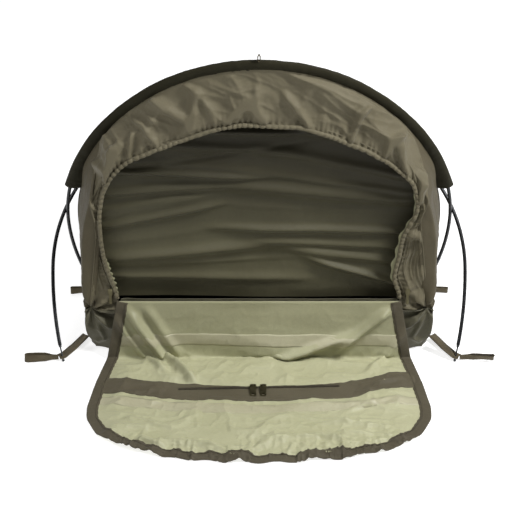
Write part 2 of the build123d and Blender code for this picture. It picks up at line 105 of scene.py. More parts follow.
def latticeNoise(x, y, seed):
    # smooth noise from -1 to 1: hashed values at whole numbers, eased between them
    x = np.asarray(x, float)
    y = np.asarray(y, float)
    x0, y0 = np.floor(x), np.floor(y)
    ax, ay = x - x0, y - y0
    ax, ay = ax * ax * (3 - 2 * ax), ay * ay * (3 - 2 * ay)

    def corner(i, j):
        value = np.sin((x0 + i) * 127.1 + (y0 + j) * 311.7 + seed * 74.7) * 43758.5453
        return (value - np.floor(value)) * 2 - 1

    low = corner(0, 0) * (1 - ax) + corner(1, 0) * ax
    high = corner(0, 1) * (1 - ax) + corner(1, 1) * ax
    return low * (1 - ay) + high * ay


def cloudNoise(x, y, seed, octaves=3):
    # layers of lattice noise, each twice as fine and half as high as the last
    total = 0.0
    for k in range(octaves):
        total = total + latticeNoise(x * 2**k + 13.7 * k, y * 2**k - 7.3 * k, seed + k) * 0.5**k
    return total / (2 - 0.5 ** (octaves - 1))


def creaseNoise(x, y, seed, octaves=3):
    # sharp ridges with broad valleys: one minus the size of the noise, cubed
    total = 0.0
    for k in range(octaves):
        ridge = 1 - np.abs(latticeNoise(x * 1.9**k + 5.1 * k, y * 1.9**k + 3.3 * k, seed + k))
        total = total + ridge**3 * 0.55**k
    return total / (2 - 0.5 ** (octaves - 1)) - 0.32


def easeStep(t, low=0.0, high=1.0):
    # smooth step from 0 at low to 1 at high
    t = np.clip((np.asarray(t, float) - low) / (high - low), 0, 1)
    return t * t * (3 - 2 * t)


def foldLine(x, y, start, end, width, height, lean=0.0):
    # a ridge along a line: a bell across it, which fades towards both ends
    start, end = np.array(start, float), np.array(end, float)
    along = end - start
    length = np.hypot(*along)
    along = along / length
    dx, dy = x - start[0], y - start[1]
    t = (dx * along[0] + dy * along[1]) / length
    side = dx * -along[1] + dy * along[0]
    side = side + lean * width * (t - 0.5)
    fade = easeStep(t, -0.12, 0.18) * (1 - easeStep(t, 0.75, 1.12))
    return height * np.exp(-((side / width) ** 2)) * fade


def unitVectors(v):
    return v / np.maximum(np.linalg.norm(v, axis=-1, keepdims=True), 1e-12)


def gridNormals(points):
    # normals of a grid of points: across step times down step
    across = np.gradient(points, axis=1)
    down = np.gradient(points, axis=0)
    return unitVectors(np.cross(across, down))


def gridLengths(points):
    # running length along the rows and along the columns of a grid, in metres
    across = np.linalg.norm(np.diff(points, axis=1), axis=-1)
    down = np.linalg.norm(np.diff(points, axis=0), axis=-1)
    across = np.concatenate([np.zeros((len(points), 1)), np.cumsum(across, axis=1)], axis=1)
    down = np.concatenate([np.zeros((1, points.shape[1])), np.cumsum(down, axis=0)], axis=0)
    return across, down


def runAlong(line):
    # distance from the start of a line to each of its points
    return np.concatenate([[0.0], np.cumsum(np.linalg.norm(np.diff(line, axis=0), axis=1))])


def resample(points, count):
    # points evenly spaced along a line of points
    run = runAlong(points)
    want = np.linspace(0, run[-1], count)
    return np.stack([np.interp(want, run, points[:, k]) for k in range(points.shape[1])], axis=1)


def smoothLine(values, reach):
    # moving average along the first axis, with the ends held
    if reach < 1:
        return values
    kernel = np.hanning(2 * reach + 3)[1:-1]
    kernel = kernel / kernel.sum()
    padded = np.concatenate([np.repeat(values[:1], reach, 0), values, np.repeat(values[-1:], reach, 0)])
    flat = padded.reshape(len(padded), -1)
    out = np.stack([np.convolve(flat[:, k], kernel, "valid") for k in range(flat.shape[1])], axis=1)
    out = out.reshape(values.shape)
    out[0], out[-1] = values[0], values[-1]
    return out


def gridObject(name, points, material, wrapRows=False, wrapColumns=False, uv=None):
    # a mesh of four-sided faces on a grid of points (rows, columns, 3)
    rows, columns = points.shape[:2]
    if uv is None:
        across, down = gridLengths(points)
        uv = np.stack([across, down], axis=-1)
    i = np.arange(rows if wrapRows else rows - 1)[:, None]
    j = np.arange(columns if wrapColumns else columns - 1)[None, :]
    i2, j2 = (i + 1) % rows, (j + 1) % columns
    quads = np.stack(np.broadcast_arrays(
        i * columns + j, i * columns + j2, i2 * columns + j2, i2 * columns + j), axis=-1)
    quads = quads.reshape(-1, 4)
    uvWide = np.concatenate([uv, uv[:, :1]], axis=1)
    uvWide = np.concatenate([uvWide, uvWide[:1]], axis=0)
    if wrapColumns:
        uvWide[:, -1, 0] = uvWide[:, -2, 0] + np.mean(np.diff(uv[:, :, 0], axis=1))
    if wrapRows:
        uvWide[-1, :, 1] = uvWide[-2, :, 1] + np.mean(np.diff(uv[:, :, 1], axis=0))
    ii, jj = np.broadcast_arrays(i, j)
    corners = np.stack([
        uvWide[ii, jj], uvWide[ii, jj + 1], uvWide[ii + 1, jj + 1], uvWide[ii + 1, jj]], axis=-2)
    mesh = bpy.data.meshes.new(name)
    mesh.vertices.add(rows * columns)
    mesh.vertices.foreach_set("co", points.reshape(-1))
    mesh.loops.add(quads.size)
    mesh.loops.foreach_set("vertex_index", quads.reshape(-1).astype(np.int32))
    mesh.polygons.add(len(quads))
    mesh.polygons.foreach_set("loop_start", np.arange(0, quads.size, 4, dtype=np.int32))
    mesh.polygons.foreach_set("loop_total", np.full(len(quads), 4, dtype=np.int32))
    mesh.update(calc_edges=True)
    mesh.validate()
    layer = mesh.uv_layers.new(name="UVMap")
    layer.data.foreach_set("uv", corners.reshape(-1))
    mesh.polygons.foreach_set("use_smooth", np.ones(len(quads), dtype=bool))
    mesh.materials.append(material)
    obj = bpy.data.objects.new(name, mesh)
    scene.collection.objects.link(obj)
    return obj


def thicken(obj, thickness, offset=-1.0):
    modifier = obj.modifiers.new("thickness", "SOLIDIFY")
    modifier.thickness = thickness
    modifier.offset = offset
    return obj


def joinObjects(name, parts):
    # join mesh objects into one, under a new name
    for other in bpy.context.selected_objects:
        other.select_set(False)
    for part in parts:
        part.select_set(True)
    bpy.context.view_layer.objects.active = parts[0]
    bpy.ops.object.join()
    parts[0].name = name
    parts[0].data.name = name
    parts[0].select_set(False)
    return parts[0]


def tubeAlong(name, path, radius, material, sides=10, up=(0, 0, 1)):
    # a round tube along a line of points
    path = np.asarray(path, float)
    ahead = unitVectors(np.gradient(path, axis=0))
    side = unitVectors(np.cross(ahead, np.array(up, float)[None, :]))
    lift = np.cross(side, ahead)
    turn = np.linspace(0, 2 * np.pi, sides, endpoint=False)
    radius = np.broadcast_to(np.asarray(radius, float), (len(path),))
    ring = (path[:, None, :]
            + side[:, None, :] * (np.cos(turn)[None, :, None] * radius[:, None, None])
            + lift[:, None, :] * (np.sin(turn)[None, :, None] * radius[:, None, None]))
    obj = gridObject(name, ring, material, wrapColumns=True)
    capEnds(obj, len(path), sides)
    return obj


def capEnds(obj, rows, columns):
    # close the two ends of a tube's grid with one face each
    mesh = obj.data
    first = list(range(columns))
    last = [(rows - 1) * columns + k for k in reversed(range(columns))]
    bm = bmesh.new()
    bm.from_mesh(mesh)
    bm.verts.ensure_lookup_table()
    for ring in (first, last):
        bm.faces.new([bm.verts[k] for k in ring])
    bmesh.ops.recalc_face_normals(bm, faces=bm.faces)
    bm.to_mesh(mesh)
    bm.free()

# materials


def newMaterial(name, roughness=0.6, metallic=0.0):
    material = bpy.data.materials.new(name)
    material.use_nodes = True
    shader = material.node_tree.nodes["Principled BSDF"]
    shader.inputs["Roughness"].default_value = roughness
    shader.inputs["Metallic"].default_value = metallic
    return material, material.node_tree.links, shader


def linear(colour):
    # a display colour of 0 to 255 as linear light
    c = np.array(colour, float) / 255
    c = np.where(c > 0.04045, ((c + 0.055) / 1.055) ** 2.4, c / 12.92)
    return (float(c[0]), float(c[1]), float(c[2]), 1.0)


def addNode(links, kind, inputs, **settings):
    # a shader node; each input is a number, a colour or the output of another node
    node = links.id_data.nodes.new("ShaderNode" + kind)
    for key, value in settings.items():
        setattr(node, key, value)
    for key, value in inputs.items():
        if isinstance(value, (int, float, tuple)):
            node.inputs[key].default_value = value
        else:
            links.new(value, node.inputs[key])
    return node


def waveNode(links, vector, direction, pitch):
    # bands across one direction, one for each pitch in metres
    inputs = {"Scale": 2 * np.pi / (20 * pitch), "Vector": vector}
    return addNode(links, "TexWave", inputs, bands_direction=direction).outputs["Fac"]


def noiseNode(links, vector, scale, detail=3.0, rough=0.55, distortion=0.0):
    inputs = {"Vector": vector, "Scale": scale, "Detail": detail, "Roughness": rough,
              "Distortion": distortion}
    return addNode(links, "TexNoise", inputs).outputs["Fac"]


def mixColour(links, factor, first, second, blend="MIX"):
    mix = addNode(links, "Mix", {}, data_type="RGBA", blend_type=blend)
    for socket, value in ((mix.inputs[0], factor), (mix.inputs[6], first), (mix.inputs[7], second)):
        if isinstance(value, (int, float, tuple)):
            socket.default_value = value
        else:
            links.new(value, socket)
    return mix.outputs[2]


def shaded(links, colour, shade):
    # a colour multiplied by a grey value
    grey = addNode(links, "CombineColor", {"Red": shade, "Green": shade, "Blue": shade}).outputs[0]
    return mixColour(links, 1.0, colour, grey, "MULTIPLY")


def rangeNode(links, value, low, high, newLow=0.0, newHigh=1.0):
    inputs = {"Value": value, "From Min": low, "From Max": high, "To Min": newLow, "To Max": newHigh}
    return addNode(links, "MapRange", inputs).outputs["Result"]


def bumpNode(links, height, distance, under=None):
    inputs = {"Distance": distance, "Strength": 1.0, "Height": height}
    if under is not None:
        inputs["Normal"] = under
    return addNode(links, "Bump", inputs).outputs["Normal"]


def clothMaterial(name, colour, dark, light, pitch=0.0011, roughness=0.62, sheen=0.06,
                  crumple=0.0011, weave=0.00012, mottle=7.0, coat=0.0, specular=0.22,
                  paintedShadeZones=()):
    # woven cloth: threads both ways on the UV map, soft cloudy colour and small creases; where shade zones
    # are given, painted shade darkens the colour over a stretch of one object axis
    material, links, shader = newMaterial(name, roughness)
    coords = addNode(links, "TexCoord", {})
    uv, local = coords.outputs["UV"], coords.outputs["Object"]
    warp, weft = (waveNode(links, uv, direction, pitch) for direction in "XY")
    threads = addNode(links, "Math", {0: warp, 1: weft}, operation="MULTIPLY").outputs[0]
    cloud = noiseNode(links, local, mottle, 4.0, 0.6)
    fine = noiseNode(links, local, 160.0, 3.0, 0.6)
    tone = mixColour(links, rangeNode(links, cloud, 0.32, 0.68), linear(dark), linear(light))
    base = mixColour(links, 0.55, tone, linear(colour))
    worn = shaded(links, base, rangeNode(links, fine, 0.3, 0.7, 0.965, 1.03))
    woven = shaded(links, worn, rangeNode(links, threads, 0.0, 1.0, 0.92, 1.06))
    # painted shade: over each zone's stretch of one object axis the colour is blended into itself multiplied
    # by a darker tint
    for axis, low, high, shadeTint in paintedShadeZones:
        apart = addNode(links, "SeparateXYZ", {0: local})
        share = rangeNode(links, apart.outputs[axis], low, high)
        woven = mixColour(links, share, woven, mixColour(links, 1.0, woven, linear(shadeTint), "MULTIPLY"))
    links.new(woven, shader.inputs["Base Color"])
    under = bumpNode(links, noiseNode(links, local, 34.0, 2.0, 0.5, 0.8), crumple)
    links.new(bumpNode(links, threads, weave, under), shader.inputs["Normal"])
    rough = rangeNode(links, cloud, 0.2, 0.8, roughness - 0.07, roughness + 0.07)
    links.new(rough, shader.inputs["Roughness"])
    uniform = {"Sheen Weight": sheen, "Sheen Roughness": 0.45, "Specular IOR Level": specular,
               "Coat Weight": coat, "Coat Roughness": 0.35}
    for key, value in uniform.items():
        shader.inputs[key].default_value = value
    return material


def metalMaterial(name, colour, worn, roughness=0.35, metallic=1.0, scale=90.0):
    # plated or anodised metal with faint brushing and rubbed patches
    material, links, shader = newMaterial(name, roughness, metallic)
    local = addNode(links, "TexCoord", {}).outputs["Object"]
    patches = noiseNode(links, local, scale, 4.0, 0.65)
    rubbed = rangeNode(links, patches, 0.55, 0.75)
    links.new(mixColour(links, rubbed, linear(colour), linear(worn)), shader.inputs["Base Color"])
    links.new(bumpNode(links, noiseNode(links, local, 700.0, 2.0), 0.00003), shader.inputs["Normal"])
    rough = rangeNode(links, patches, 0.3, 0.7, roughness - 0.08, roughness + 0.12)
    links.new(rough, shader.inputs["Roughness"])
    return material


bodyCloth = clothMaterial("bodyCloth", (98, 92, 73), (86, 80, 61), (110, 104, 85))
sideClothLook = clothMaterial("sideCloth", (82, 76, 60), (73, 67, 52), (92, 86, 69),
                              sheen=0.02, specular=0.12)
tubClothLook = clothMaterial("tubCloth", (83, 80, 63), (73, 70, 54), (95, 92, 75),
                             roughness=0.5, sheen=0.1)
sleeveClothLook = clothMaterial("sleeveCloth", (39, 37, 25), (33, 31, 20), (47, 44, 31),
                                specular=0.08, sheen=0.02)
# painted shade on the net: darker higher up, where the hood's shadow falls, and darker towards its right side
netLook = clothMaterial("netCloth", (82, 79, 59), (73, 69, 49), (92, 89, 68), pitch=0.0016,
                        roughness=0.5, sheen=0.1, weave=0.0002,
                        paintedShadeZones=(("Z", 0.20, 0.52, (138, 133, 126)), ("X", 0.14, 0.33, (205, 203, 196))))
# painted shade: the cloth is darker where it stands above the ground, on the upright apron and on the hem
# facings that share this look
doorInnerLook = clothMaterial("doorInnerCloth", (174, 173, 140), (165, 164, 130), (184, 183, 151),
                              pitch=0.0009, roughness=0.42, sheen=0.05, crumple=0.0008, coat=0.12,
                              paintedShadeZones=(("Z", 0.012, 0.10, (214, 213, 208)),))
bindingLook = clothMaterial("bindingCloth", (80, 74, 59), (70, 64, 50), (91, 85, 69), pitch=0.0016,
                            weave=0.0003)
bandLook = clothMaterial("bandCloth", (87, 81, 65), (78, 72, 56), (97, 91, 74))
tapeLook = clothMaterial("seamTape", (172, 168, 140), (160, 156, 128), (183, 180, 153),
                         roughness=0.35, sheen=0.0, coat=0.2, crumple=0.0004)
webbingLook = clothMaterial("webbing", (84, 75, 56), (62, 54, 38), (100, 92, 72), pitch=0.0024,
                            roughness=0.7, weave=0.0006, mottle=30.0)
coilLook = clothMaterial("zipCoil", (58, 53, 43), (48, 43, 34), (70, 64, 52), pitch=0.003,
                         roughness=0.45, sheen=0.0)
poleLook = metalMaterial("poleTube", (44, 45, 47), (70, 71, 73), 0.3, 0.75)
brassLook = metalMaterial("darkBrass", (92, 87, 66), (142, 136, 104), 0.34, 0.9)
ferruleLook = metalMaterial("ferrule", (74, 76, 78), (112, 114, 116), 0.3, 1.0)
cordLook = clothMaterial("shockCord", (42, 41, 38), (32, 31, 29), (58, 57, 52), pitch=0.0012)
threadLook = clothMaterial("stitching", (62, 56, 44), (52, 46, 36), (78, 72, 58), pitch=0.0035, weave=0.0003)
print("materials made")

# floor: plain and pale, not part of the object
floorLook, _, floorShader = newMaterial("studioFloor", 0.9)
studio = {"Base Color": (0.60, 0.60, 0.60, 1.0), "Specular IOR Level": 0.1,
          "Emission Color": (1.0, 1.0, 1.0, 1.0), "Emission Strength": 0.72}
for key, value in studio.items():
    floorShader.inputs[key].default_value = value
studioX, studioY = np.meshgrid(np.linspace(-9, 9, 3), np.linspace(-9, 9, 3))
studioGrid = np.stack([studioX, studioY, 0 * studioX - 0.0006], axis=-1)
studioFloor = gridObject("studioFloor", studioGrid, floorLook)

# the shape of the body
# Each arch: half width, height of the widest place, low radius, shoulder radius, shoulder angle.
hoops = {"front": ((0.4275, 0.248, 0.664, 0.503, 54.5), 0.098, -20.1, 0.372),
         "rear": ((0.4575, 0.212, 0.832, 0.340, 28.0), -0.200, 37.2, 0.420)}
faceShape = (0.384, 0.225, 3.0, 0.434, 50.0)
entranceShape = (0.338, 0.330, 0.636, 0.180, 60.0)
frontY, tubTop, sillTop, footEnd = -0.157, 0.108, 0.137, 1.0
# stations: arch, origin Y, lean, half width of the floor, seam height
stations = [
    ((0.4055, 0.248, 0.664, 0.481, 54.5), 0.098, -20.1, 0.362, 0.365),
    ((0.372, 0.150, 0.900, 0.300, 50.0), 0.165, 0.0, 0.352, 0.300),
    ((0.335, 0.112, 0.900, 0.120, 50.0), 0.560, 0.0, 0.320, 0.2290),
    ((0.300, 0.112, 0.900, 0.060, 65.0), 0.800, 0.0, 0.286, 0.1860),
    ((0.265, 0.112, 0.900, 0.050, 72.0), 1.000, 0.0, 0.252, 0.150),
]


def archHalf(shape, foot, offset=0.0, count=300):
    # three arcs that meet smoothly: low side, shoulder, top; from the right foot to the middle
    width, wide, low, shoulder, angle = shape
    angle = np.radians(angle)
    spread = width - shoulder
    arcs = ((width - low, wide, low + offset, np.arcsin((foot - wide) / (low + offset)), 0.0),
            (width - shoulder, wide, shoulder + offset, 0.0, angle),
            (0.0, wide - spread * np.tan(angle), shoulder + spread / np.cos(angle) + offset,
             angle, np.pi / 2))
    turns = [(cx, cy, r, np.linspace(a, b, 400)) for cx, cy, r, a, b in arcs]
    points = [np.stack([cx + r * np.cos(a), cy + r * np.sin(a)], axis=1) for cx, cy, r, a in turns]
    points = np.concatenate(points[foot > wide:])
    return resample(points[points[:, 1] >= foot - 1e-9], count)


def onPlane(line, originY, lean):
    lean = np.radians(lean)
    return np.stack([line[:, 0], originY + line[:, 1] * np.sin(lean), line[:, 1] * np.cos(lean)], axis=1)


def fullLine(half):
    # left foot, over the top, to the right foot
    return np.concatenate([half * [-1, 1, 1], half[::-1][1:]])


def mirrored(points):
    return points[:, ::-1] * np.array([-1.0, 1.0, 1.0])


def between(line, low, high, count):
    # the part of a line between two heights, evenly spaced
    fine = resample(line, 2000)
    kept = fine[(fine[:, 2] >= low - 1e-6) & (fine[:, 2] <= high + 1e-6)]
    return resample(kept, count)


def starPucker(x, z, centre, reach, height, points=7):
    # folds that radiate from a point where several seams meet: a bell times a cosine of the angle
    dx, dz = x - centre[0], z - centre[1]
    r = np.hypot(dx, dz)
    turn = np.arctan2(dz, dx)
    rays = np.cos(points * turn + 1.4 * np.sin(2 * turn) + 0.7)
    return height * (rays * np.exp(-((r / reach) ** 2)) * easeStep(r, 0.0, reach * 0.25)
                     - 0.9 * np.exp(-((r / (reach * 0.25)) ** 2)))


def cornerPucker(x, z):
    return (starPucker(x, z, (-0.368, 0.108), 0.066, 0.0100)
            + starPucker(x, z, (0.368, 0.108), 0.062, 0.0090, 6)
            + starPucker(x, z, (-0.312, 0.150), 0.034, 0.0030, 5)
            + starPucker(x, z, (0.312, 0.150), 0.034, 0.0030, 5))


def place(obj, body, slot, *nodes):
    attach(obj, body)
    if nodes:
        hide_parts(*nodes)
    return obj


def clothPiece(name, points, material, node, thickness=0.0012, slot="body_cloth"):
    obj = gridObject(name, points, material)
    thicken(obj, thickness)
    return place(obj, "bivy_body", slot, node)


# front: hood, front panels and gussets
hood = {"columns": 620, "rows": 62, "gather": 0.0040, "gatherPitch": 0.0125, "gatherFade": 0.013,
        "pull": 0.0185, "wave": 0.0190, "sideFold": 0.0085, "drawn": 0.0165, "set": 0.0080,
        "wedgeLow": 0.33, "wedgeHigh": 0.52}
halfCount = hood["columns"] // 2
entranceHalf = onPlane(archHalf(entranceShape, sillTop, 0.0, halfCount), frontY, 0.0)
entranceFoot = np.stack([np.full(12, 0.308), np.full(12, frontY), np.linspace(tubTop, sillTop, 12)], axis=1)
entranceHalf = resample(np.concatenate([entranceFoot[:-1], entranceHalf]), halfCount)
faceHalf = onPlane(archHalf(faceShape, tubTop, 0.0, halfCount), frontY, 0.0)
frontLean = hoops["front"][2]
hoopFoot = tubTop / np.cos(np.radians(frontLean))
hoopHalf = onPlane(archHalf(stations[0][0], hoopFoot, 0.0, halfCount), stations[0][1], frontLean)
lap = easeStep(hoopHalf[:, 2], 0.34, 0.42)[:, None]
hoopOut = onPlane(archHalf(stations[0][0], hoopFoot, 0.0125, halfCount), stations[0][1], frontLean)
hoopFront = np.array([0.0, -np.cos(np.radians(frontLean)), np.sin(np.radians(frontLean))])
hoopHalf = hoopHalf + (hoopOut + hoopFront * 0.0062 - hoopHalf) * lap
entranceLine, faceLine, hoopLine = fullLine(entranceHalf), fullLine(faceHalf), fullLine(hoopHalf)


def slackHem(line):
    # the elastic pulls the right side in low down and lets the line wander a little all round
    x, z = line[:, 0], line[:, 2]
    run = runAlong(line)
    right = easeStep(x, 0.1, 0.25)
    pulled = -0.034 * np.exp(-(((z - 0.245) / 0.085) ** 4)) * right
    pulled = pulled + 0.006 * np.exp(-(((z - 0.425) / 0.03) ** 2)) * right
    held = easeStep(z, 0.137, 0.19)
    wander = 0.0050 * cloudNoise(run / 0.085, run * 0, 601, 2) * held
    droop = -0.012 * np.exp(-(((x - 0.22) / 0.10) ** 2)) * easeStep(z, 0.38, 0.46)
    droop = droop - 0.010 * np.exp(-(((x + 0.20) / 0.09) ** 2)) * easeStep(z, 0.38, 0.46)
    outward = unitVectors(np.stack([x, 0 * x, z - 0.33], axis=1))
    moved = line + outward * wander[:, None]
    moved[:, 0] += pulled
    moved[:, 2] += droop
    return moved


entranceLine = slackHem(entranceLine)


def frontSkin(t):
    # from the entrance edge at 0, over the face's edge, to the front hoop at 1; t is rows by columns
    toFace = np.linalg.norm(faceLine - entranceLine, axis=1)
    toHoop = np.linalg.norm(hoopLine - faceLine, axis=1)
    run = t * (toFace + toHoop)
    first = np.clip(run / toFace, 0, 1)[..., None]
    second = np.clip((run - toFace) / toHoop, 0, 1)[..., None]
    return entranceLine + (faceLine - entranceLine) * first + (hoopLine - faceLine) * second


frontWidth = np.linalg.norm(faceLine - entranceLine, axis=1) + np.linalg.norm(hoopLine - faceLine, axis=1)
seamX = 0.370 - (faceLine[:, 2] - tubTop) * 0.029 / 0.257
seamPart = np.clip((seamX - np.abs(entranceLine[:, 0])) / frontWidth, 0.012 / frontWidth, 1.0)
wedge = easeStep(faceLine[:, 2], hood["wedgeLow"], hood["wedgeHigh"])
hoodEnd = seamPart * (1 - wedge) + wedge
hemRun = runAlong(entranceLine)


def frontFolds(run, depth, x, z, share):
    # ruched gathers at the hem that fade, creased pulls above them, then long slanting waves
    drift = cloudNoise(run / 0.07, depth / 0.2, 3) * 1.1
    strength = 0.65 + 0.5 * cloudNoise(run / 0.045, 0 * depth, 8)
    gathers = hood["gather"] * strength * np.sin(2 * np.pi * (run / hood["gatherPitch"] + drift))
    gathers = gathers * np.exp(-depth / hood["gatherFade"])
    lean = run + 0.45 * depth
    pulls = hood["pull"] * creaseNoise(lean / 0.070, depth / 0.12, 21, 2)
    pulls = pulls * easeStep(depth, 0.002, 0.022) * np.exp(-((depth / 0.115) ** 2))
    pulls = pulls * (0.45 + 0.55 * easeStep(z, 0.34, 0.46))
    slant = (x * 0.9 + z * 1.6 + 0.04 * cloudNoise(x / 0.2, z / 0.2, 5)) / 0.115
    waves = hood["wave"] * (creaseNoise(slant, x / 0.5 + 2.0, 33, 3) + 0.2)
    waves = waves * easeStep(depth, 0.015, 0.05) * easeStep(z, 0.30, 0.44)
    low = 1 - easeStep(z, 0.34, 0.46)
    bent = depth / 0.021 + 0.7 * cloudNoise(z / 0.12, x * 0, 9)
    along = hood["sideFold"] * creaseNoise(bent, z / 0.28, 41, 2)
    along = along * low * easeStep(depth, 0.004, 0.018)
    small = 0.0016 * creaseNoise(run / 0.030 + depth / 0.05, depth / 0.024 - run / 0.09, 47, 2)
    waves = waves + small * easeStep(depth, 0.006, 0.03)
    total = run[0, -1] if np.ndim(run) > 1 else 1.2
    for k in range(26):
        # folds drawn out of the hem, each leaning its own way
        start = total * (0.13 + 0.74 * (k + 0.35 * np.sin(k * 2.7)) / 25)
        reach = 0.050 + 0.045 * np.sin(k * 1.9 + 0.4) ** 2
        slantBy = 0.055 * np.sin(k * 2.3 + 1.1) + (0.02 if start < total / 2 else -0.02)
        pull = hood["drawn"] * (0.55 + 0.45 * np.sin(k * 3.1))
        waves = waves + foldLine(run, depth, (start, 0.006), (start + slantBy, 0.006 + reach),
                                 0.0060 + 0.0045 * np.sin(k * 1.3) ** 2, pull, 0.5)
    edge = 1 - easeStep(share, 0.90, 1.0)
    return gathers + (pulls + waves + along) * edge


rowShare = np.linspace(0, 1, hood["rows"])[:, None] ** 1.15
hoodT = rowShare * hoodEnd[None, :]
hoodBase = frontSkin(hoodT)
hoodBase = smoothLine(hoodBase, 3)
hoodDepth = hoodT * frontWidth[None, :]
hoodFolds = frontFolds(hemRun[None, :] + 0 * hoodT, hoodDepth, hoodBase[..., 0], hoodBase[..., 2],
                       rowShare + 0 * hoodT)
hoodFolds = hoodFolds + cornerPucker(hoodBase[..., 0], hoodBase[..., 2])
hoodNormal = smoothLine(gridNormals(hoodBase), 3)
hoodSet = hood["set"] * np.sin(np.pi * np.clip(rowShare, 0.0, 1.0)) ** 0.5
hoodPoints = hoodBase + hoodNormal * np.maximum(hoodFolds - hoodSet, -0.022)[..., None]
hoodLimit = frontY - 0.0068
hoodPast = hoodPoints[..., 1] - hoodLimit
hoodPoints[..., 1] = hoodLimit + 0.5 * (hoodPast + np.sqrt(hoodPast**2 + 0.002**2))
hoodPiece = clothPiece("hood_cloth", hoodPoints, bodyCloth, "hood")

gussetRows = 46
gussetPick = [k for k in range(halfCount) if hoodEnd[k] < 0.985]
gussetStart = np.clip(hoodEnd - 0.010 / frontWidth, 0, 1)
gussetT = gussetStart + (1 - gussetStart) * np.linspace(0, 1, gussetRows)[:, None]
gussetBase = smoothLine(frontSkin(gussetT), 2)
gussetDepth = gussetT * frontWidth
gussetX, gussetZ = gussetBase[..., 0], gussetBase[..., 2]
plainSide = creaseNoise(gussetDepth / 0.07 + gussetZ / 0.3, gussetZ / 0.2 - gussetDepth / 0.3, 52, 3)
gussetFade = easeStep(gussetT - gussetStart, 0.0, 0.2) * (1 - easeStep(gussetT, 0.85, 1.0))
gussetFolds = 0.0045 * plainSide * gussetFade
gussetFolds = gussetFolds + cornerPucker(gussetX, gussetZ) * (1 - easeStep(gussetDepth, 0.1, 0.16)) - 0.0018
gussetPoints = gussetBase + gridNormals(gussetBase) * gussetFolds[..., None]
leftGusset = gussetPoints[:, :gussetPick[-1] + 1]
rightGusset = mirrored(leftGusset)
rightWave = 0.003 * creaseNoise(rightGusset[..., 2] / 0.11, rightGusset[..., 1] / 0.05, 61, 2)
rightWave = rightWave * np.sin(np.pi * np.linspace(0, 1, gussetRows))[:, None]
rightGusset = rightGusset + gridNormals(rightGusset) * rightWave[..., None]
gussetLeft = clothPiece("gusset_left_cloth", leftGusset, sideClothLook, "side_gusset_left")
gussetRight = clothPiece("gusset_right_cloth", rightGusset, sideClothLook, "side_gusset_right")
print("hood and gussets made")

# hem: elastic cord in its casing, ruched with the hood
hem = {"radius": 0.0046, "ruche": 0.0010}
hemHalf = onPlane(archHalf(entranceShape, sillTop, 0.0, 750), frontY, 0.0)
hemLine = slackHem(fullLine(hemHalf))
hemStep = runAlong(hemLine)
hemDrift = 1.1 * cloudNoise(hemStep / 0.07, hemStep * 0, 3)
hemBeat = np.sin(2 * np.pi * (hemStep / hood["gatherPitch"] + hemDrift))
hemBeat = hemBeat * (0.5 + 0.5 * cloudNoise(hemStep / 0.045, hemStep * 0, 8))
hemRise = 0.0016 * cloudNoise(hemStep / 0.02, hemStep * 0, 12)
hemPath = hemLine + np.stack([0 * hemStep, 0.0006 - 0.0016 * hemBeat, hemRise], axis=1)
hemRadius = hem["radius"] + hem["ruche"] * hemBeat * 0.6
hemTube = tubeAlong("hood_hem", hemPath, hemRadius, bodyCloth, 12, up=(0, 1, 0))
place(hemTube, "bivy_body", "body_cloth", "hood_elastic")

facing = {"inset": 0.0075, "start": 0.146, "tops": {-1: 0.235, 1: 0.392}, "count": 120}
for side, top in facing["tops"].items():
    hemHalfLine = entranceLine[halfCount - 1:][::-1] if side > 0 else entranceLine[:halfCount] * [-1, 1, 1]
    count = facing["count"]
    line = between(hemHalfLine, facing["start"], top, count)
    ruffle = 0.0022 * np.sin(np.linspace(0, 46, count))
    ruffle = ruffle + 0.002 * cloudNoise(np.linspace(0, 9, count), np.zeros(count), 71)
    taper = np.sin(np.pi * np.linspace(0.04, 0.96, count)) ** 0.5
    across = np.linspace(0, 1, 8)[:, None]
    inward = (facing["inset"] + ruffle) * taper
    x = line[:, 0] + 0.004 - across * (0.004 + inward)
    y = line[:, 1] + 0.0045 + across * 0.002
    strip = np.stack([side * x, y + 0 * x, line[:, 2] + 0 * x], axis=-1)
    strip = strip if side > 0 else strip[:, ::-1]
    piece = gridObject("hem_facing_" + ("right" if side > 0 else "left"), strip[::-1], doorInnerLook)
    thicken(piece, 0.0008)
    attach(piece, "bivy_body")

# net: taut, with drag lines that fan in from both sides
net = {"columns": 260, "rows": 210, "y": -0.125, "drag": 0.0125, "wave": 0.0100}
netHalf = onPlane(archHalf(faceShape, tubTop, -0.014, 900), net["y"], 0.0)
netZ = np.linspace(0.122, 0.612, net["rows"])
netHalfX = np.interp(netZ, netHalf[:, 2], netHalf[:, 0])
netA = np.linspace(-1, 1, net["columns"])
netX = netHalfX[:, None] * netA[None, :]
netZs = netZ[:, None] + 0 * netX
netFold = net["wave"] * cloudNoise(netX / 0.21, netZs / 0.13, 81, 2)
for k in range(26):
    side = -1 if k % 2 else 1
    startZ = 0.150 + 0.0150 * k + 0.010 * np.sin(k * 2.3)
    reach = 0.24 + 0.22 * np.sin(k * 1.7) ** 2
    lower = 0.045 * np.sin(k * 2.9 + 0.6) + (0.02 if side < 0 else 0.045)
    height = net["drag"] * (0.55 + 0.45 * np.cos(k * 1.3))
    start, end = (side * 0.345, startZ), (side * (0.345 - reach), startZ + lower)
    netFold = netFold + foldLine(netX, netZs, start, end, 0.0065 + 0.006 * np.sin(k) ** 2, height, 0.9)
netFold = netFold + foldLine(netX, netZs, (-0.30, 0.43), (0.12, 0.50), 0.006, -0.0035, 0.0)
netPoints = np.stack([netX, net["y"] - netFold, netZs], axis=-1)
netPiece = clothPiece("net_cloth", netPoints, netLook, "mosquito_net", 0.0006, "net")
print("net made")

# body behind the front hoop
body = {"rows": 420, "side": 60, "roof": 150, "fold": 0.0075, "sag": 0.012}


def stationLine(station, low, high, count):
    shape, originY, lean = station[:3]
    foot = tubTop / np.cos(np.radians(lean))
    return between(onPlane(archHalf(shape, foot, 0.0, 900), originY, lean), low, high, count)


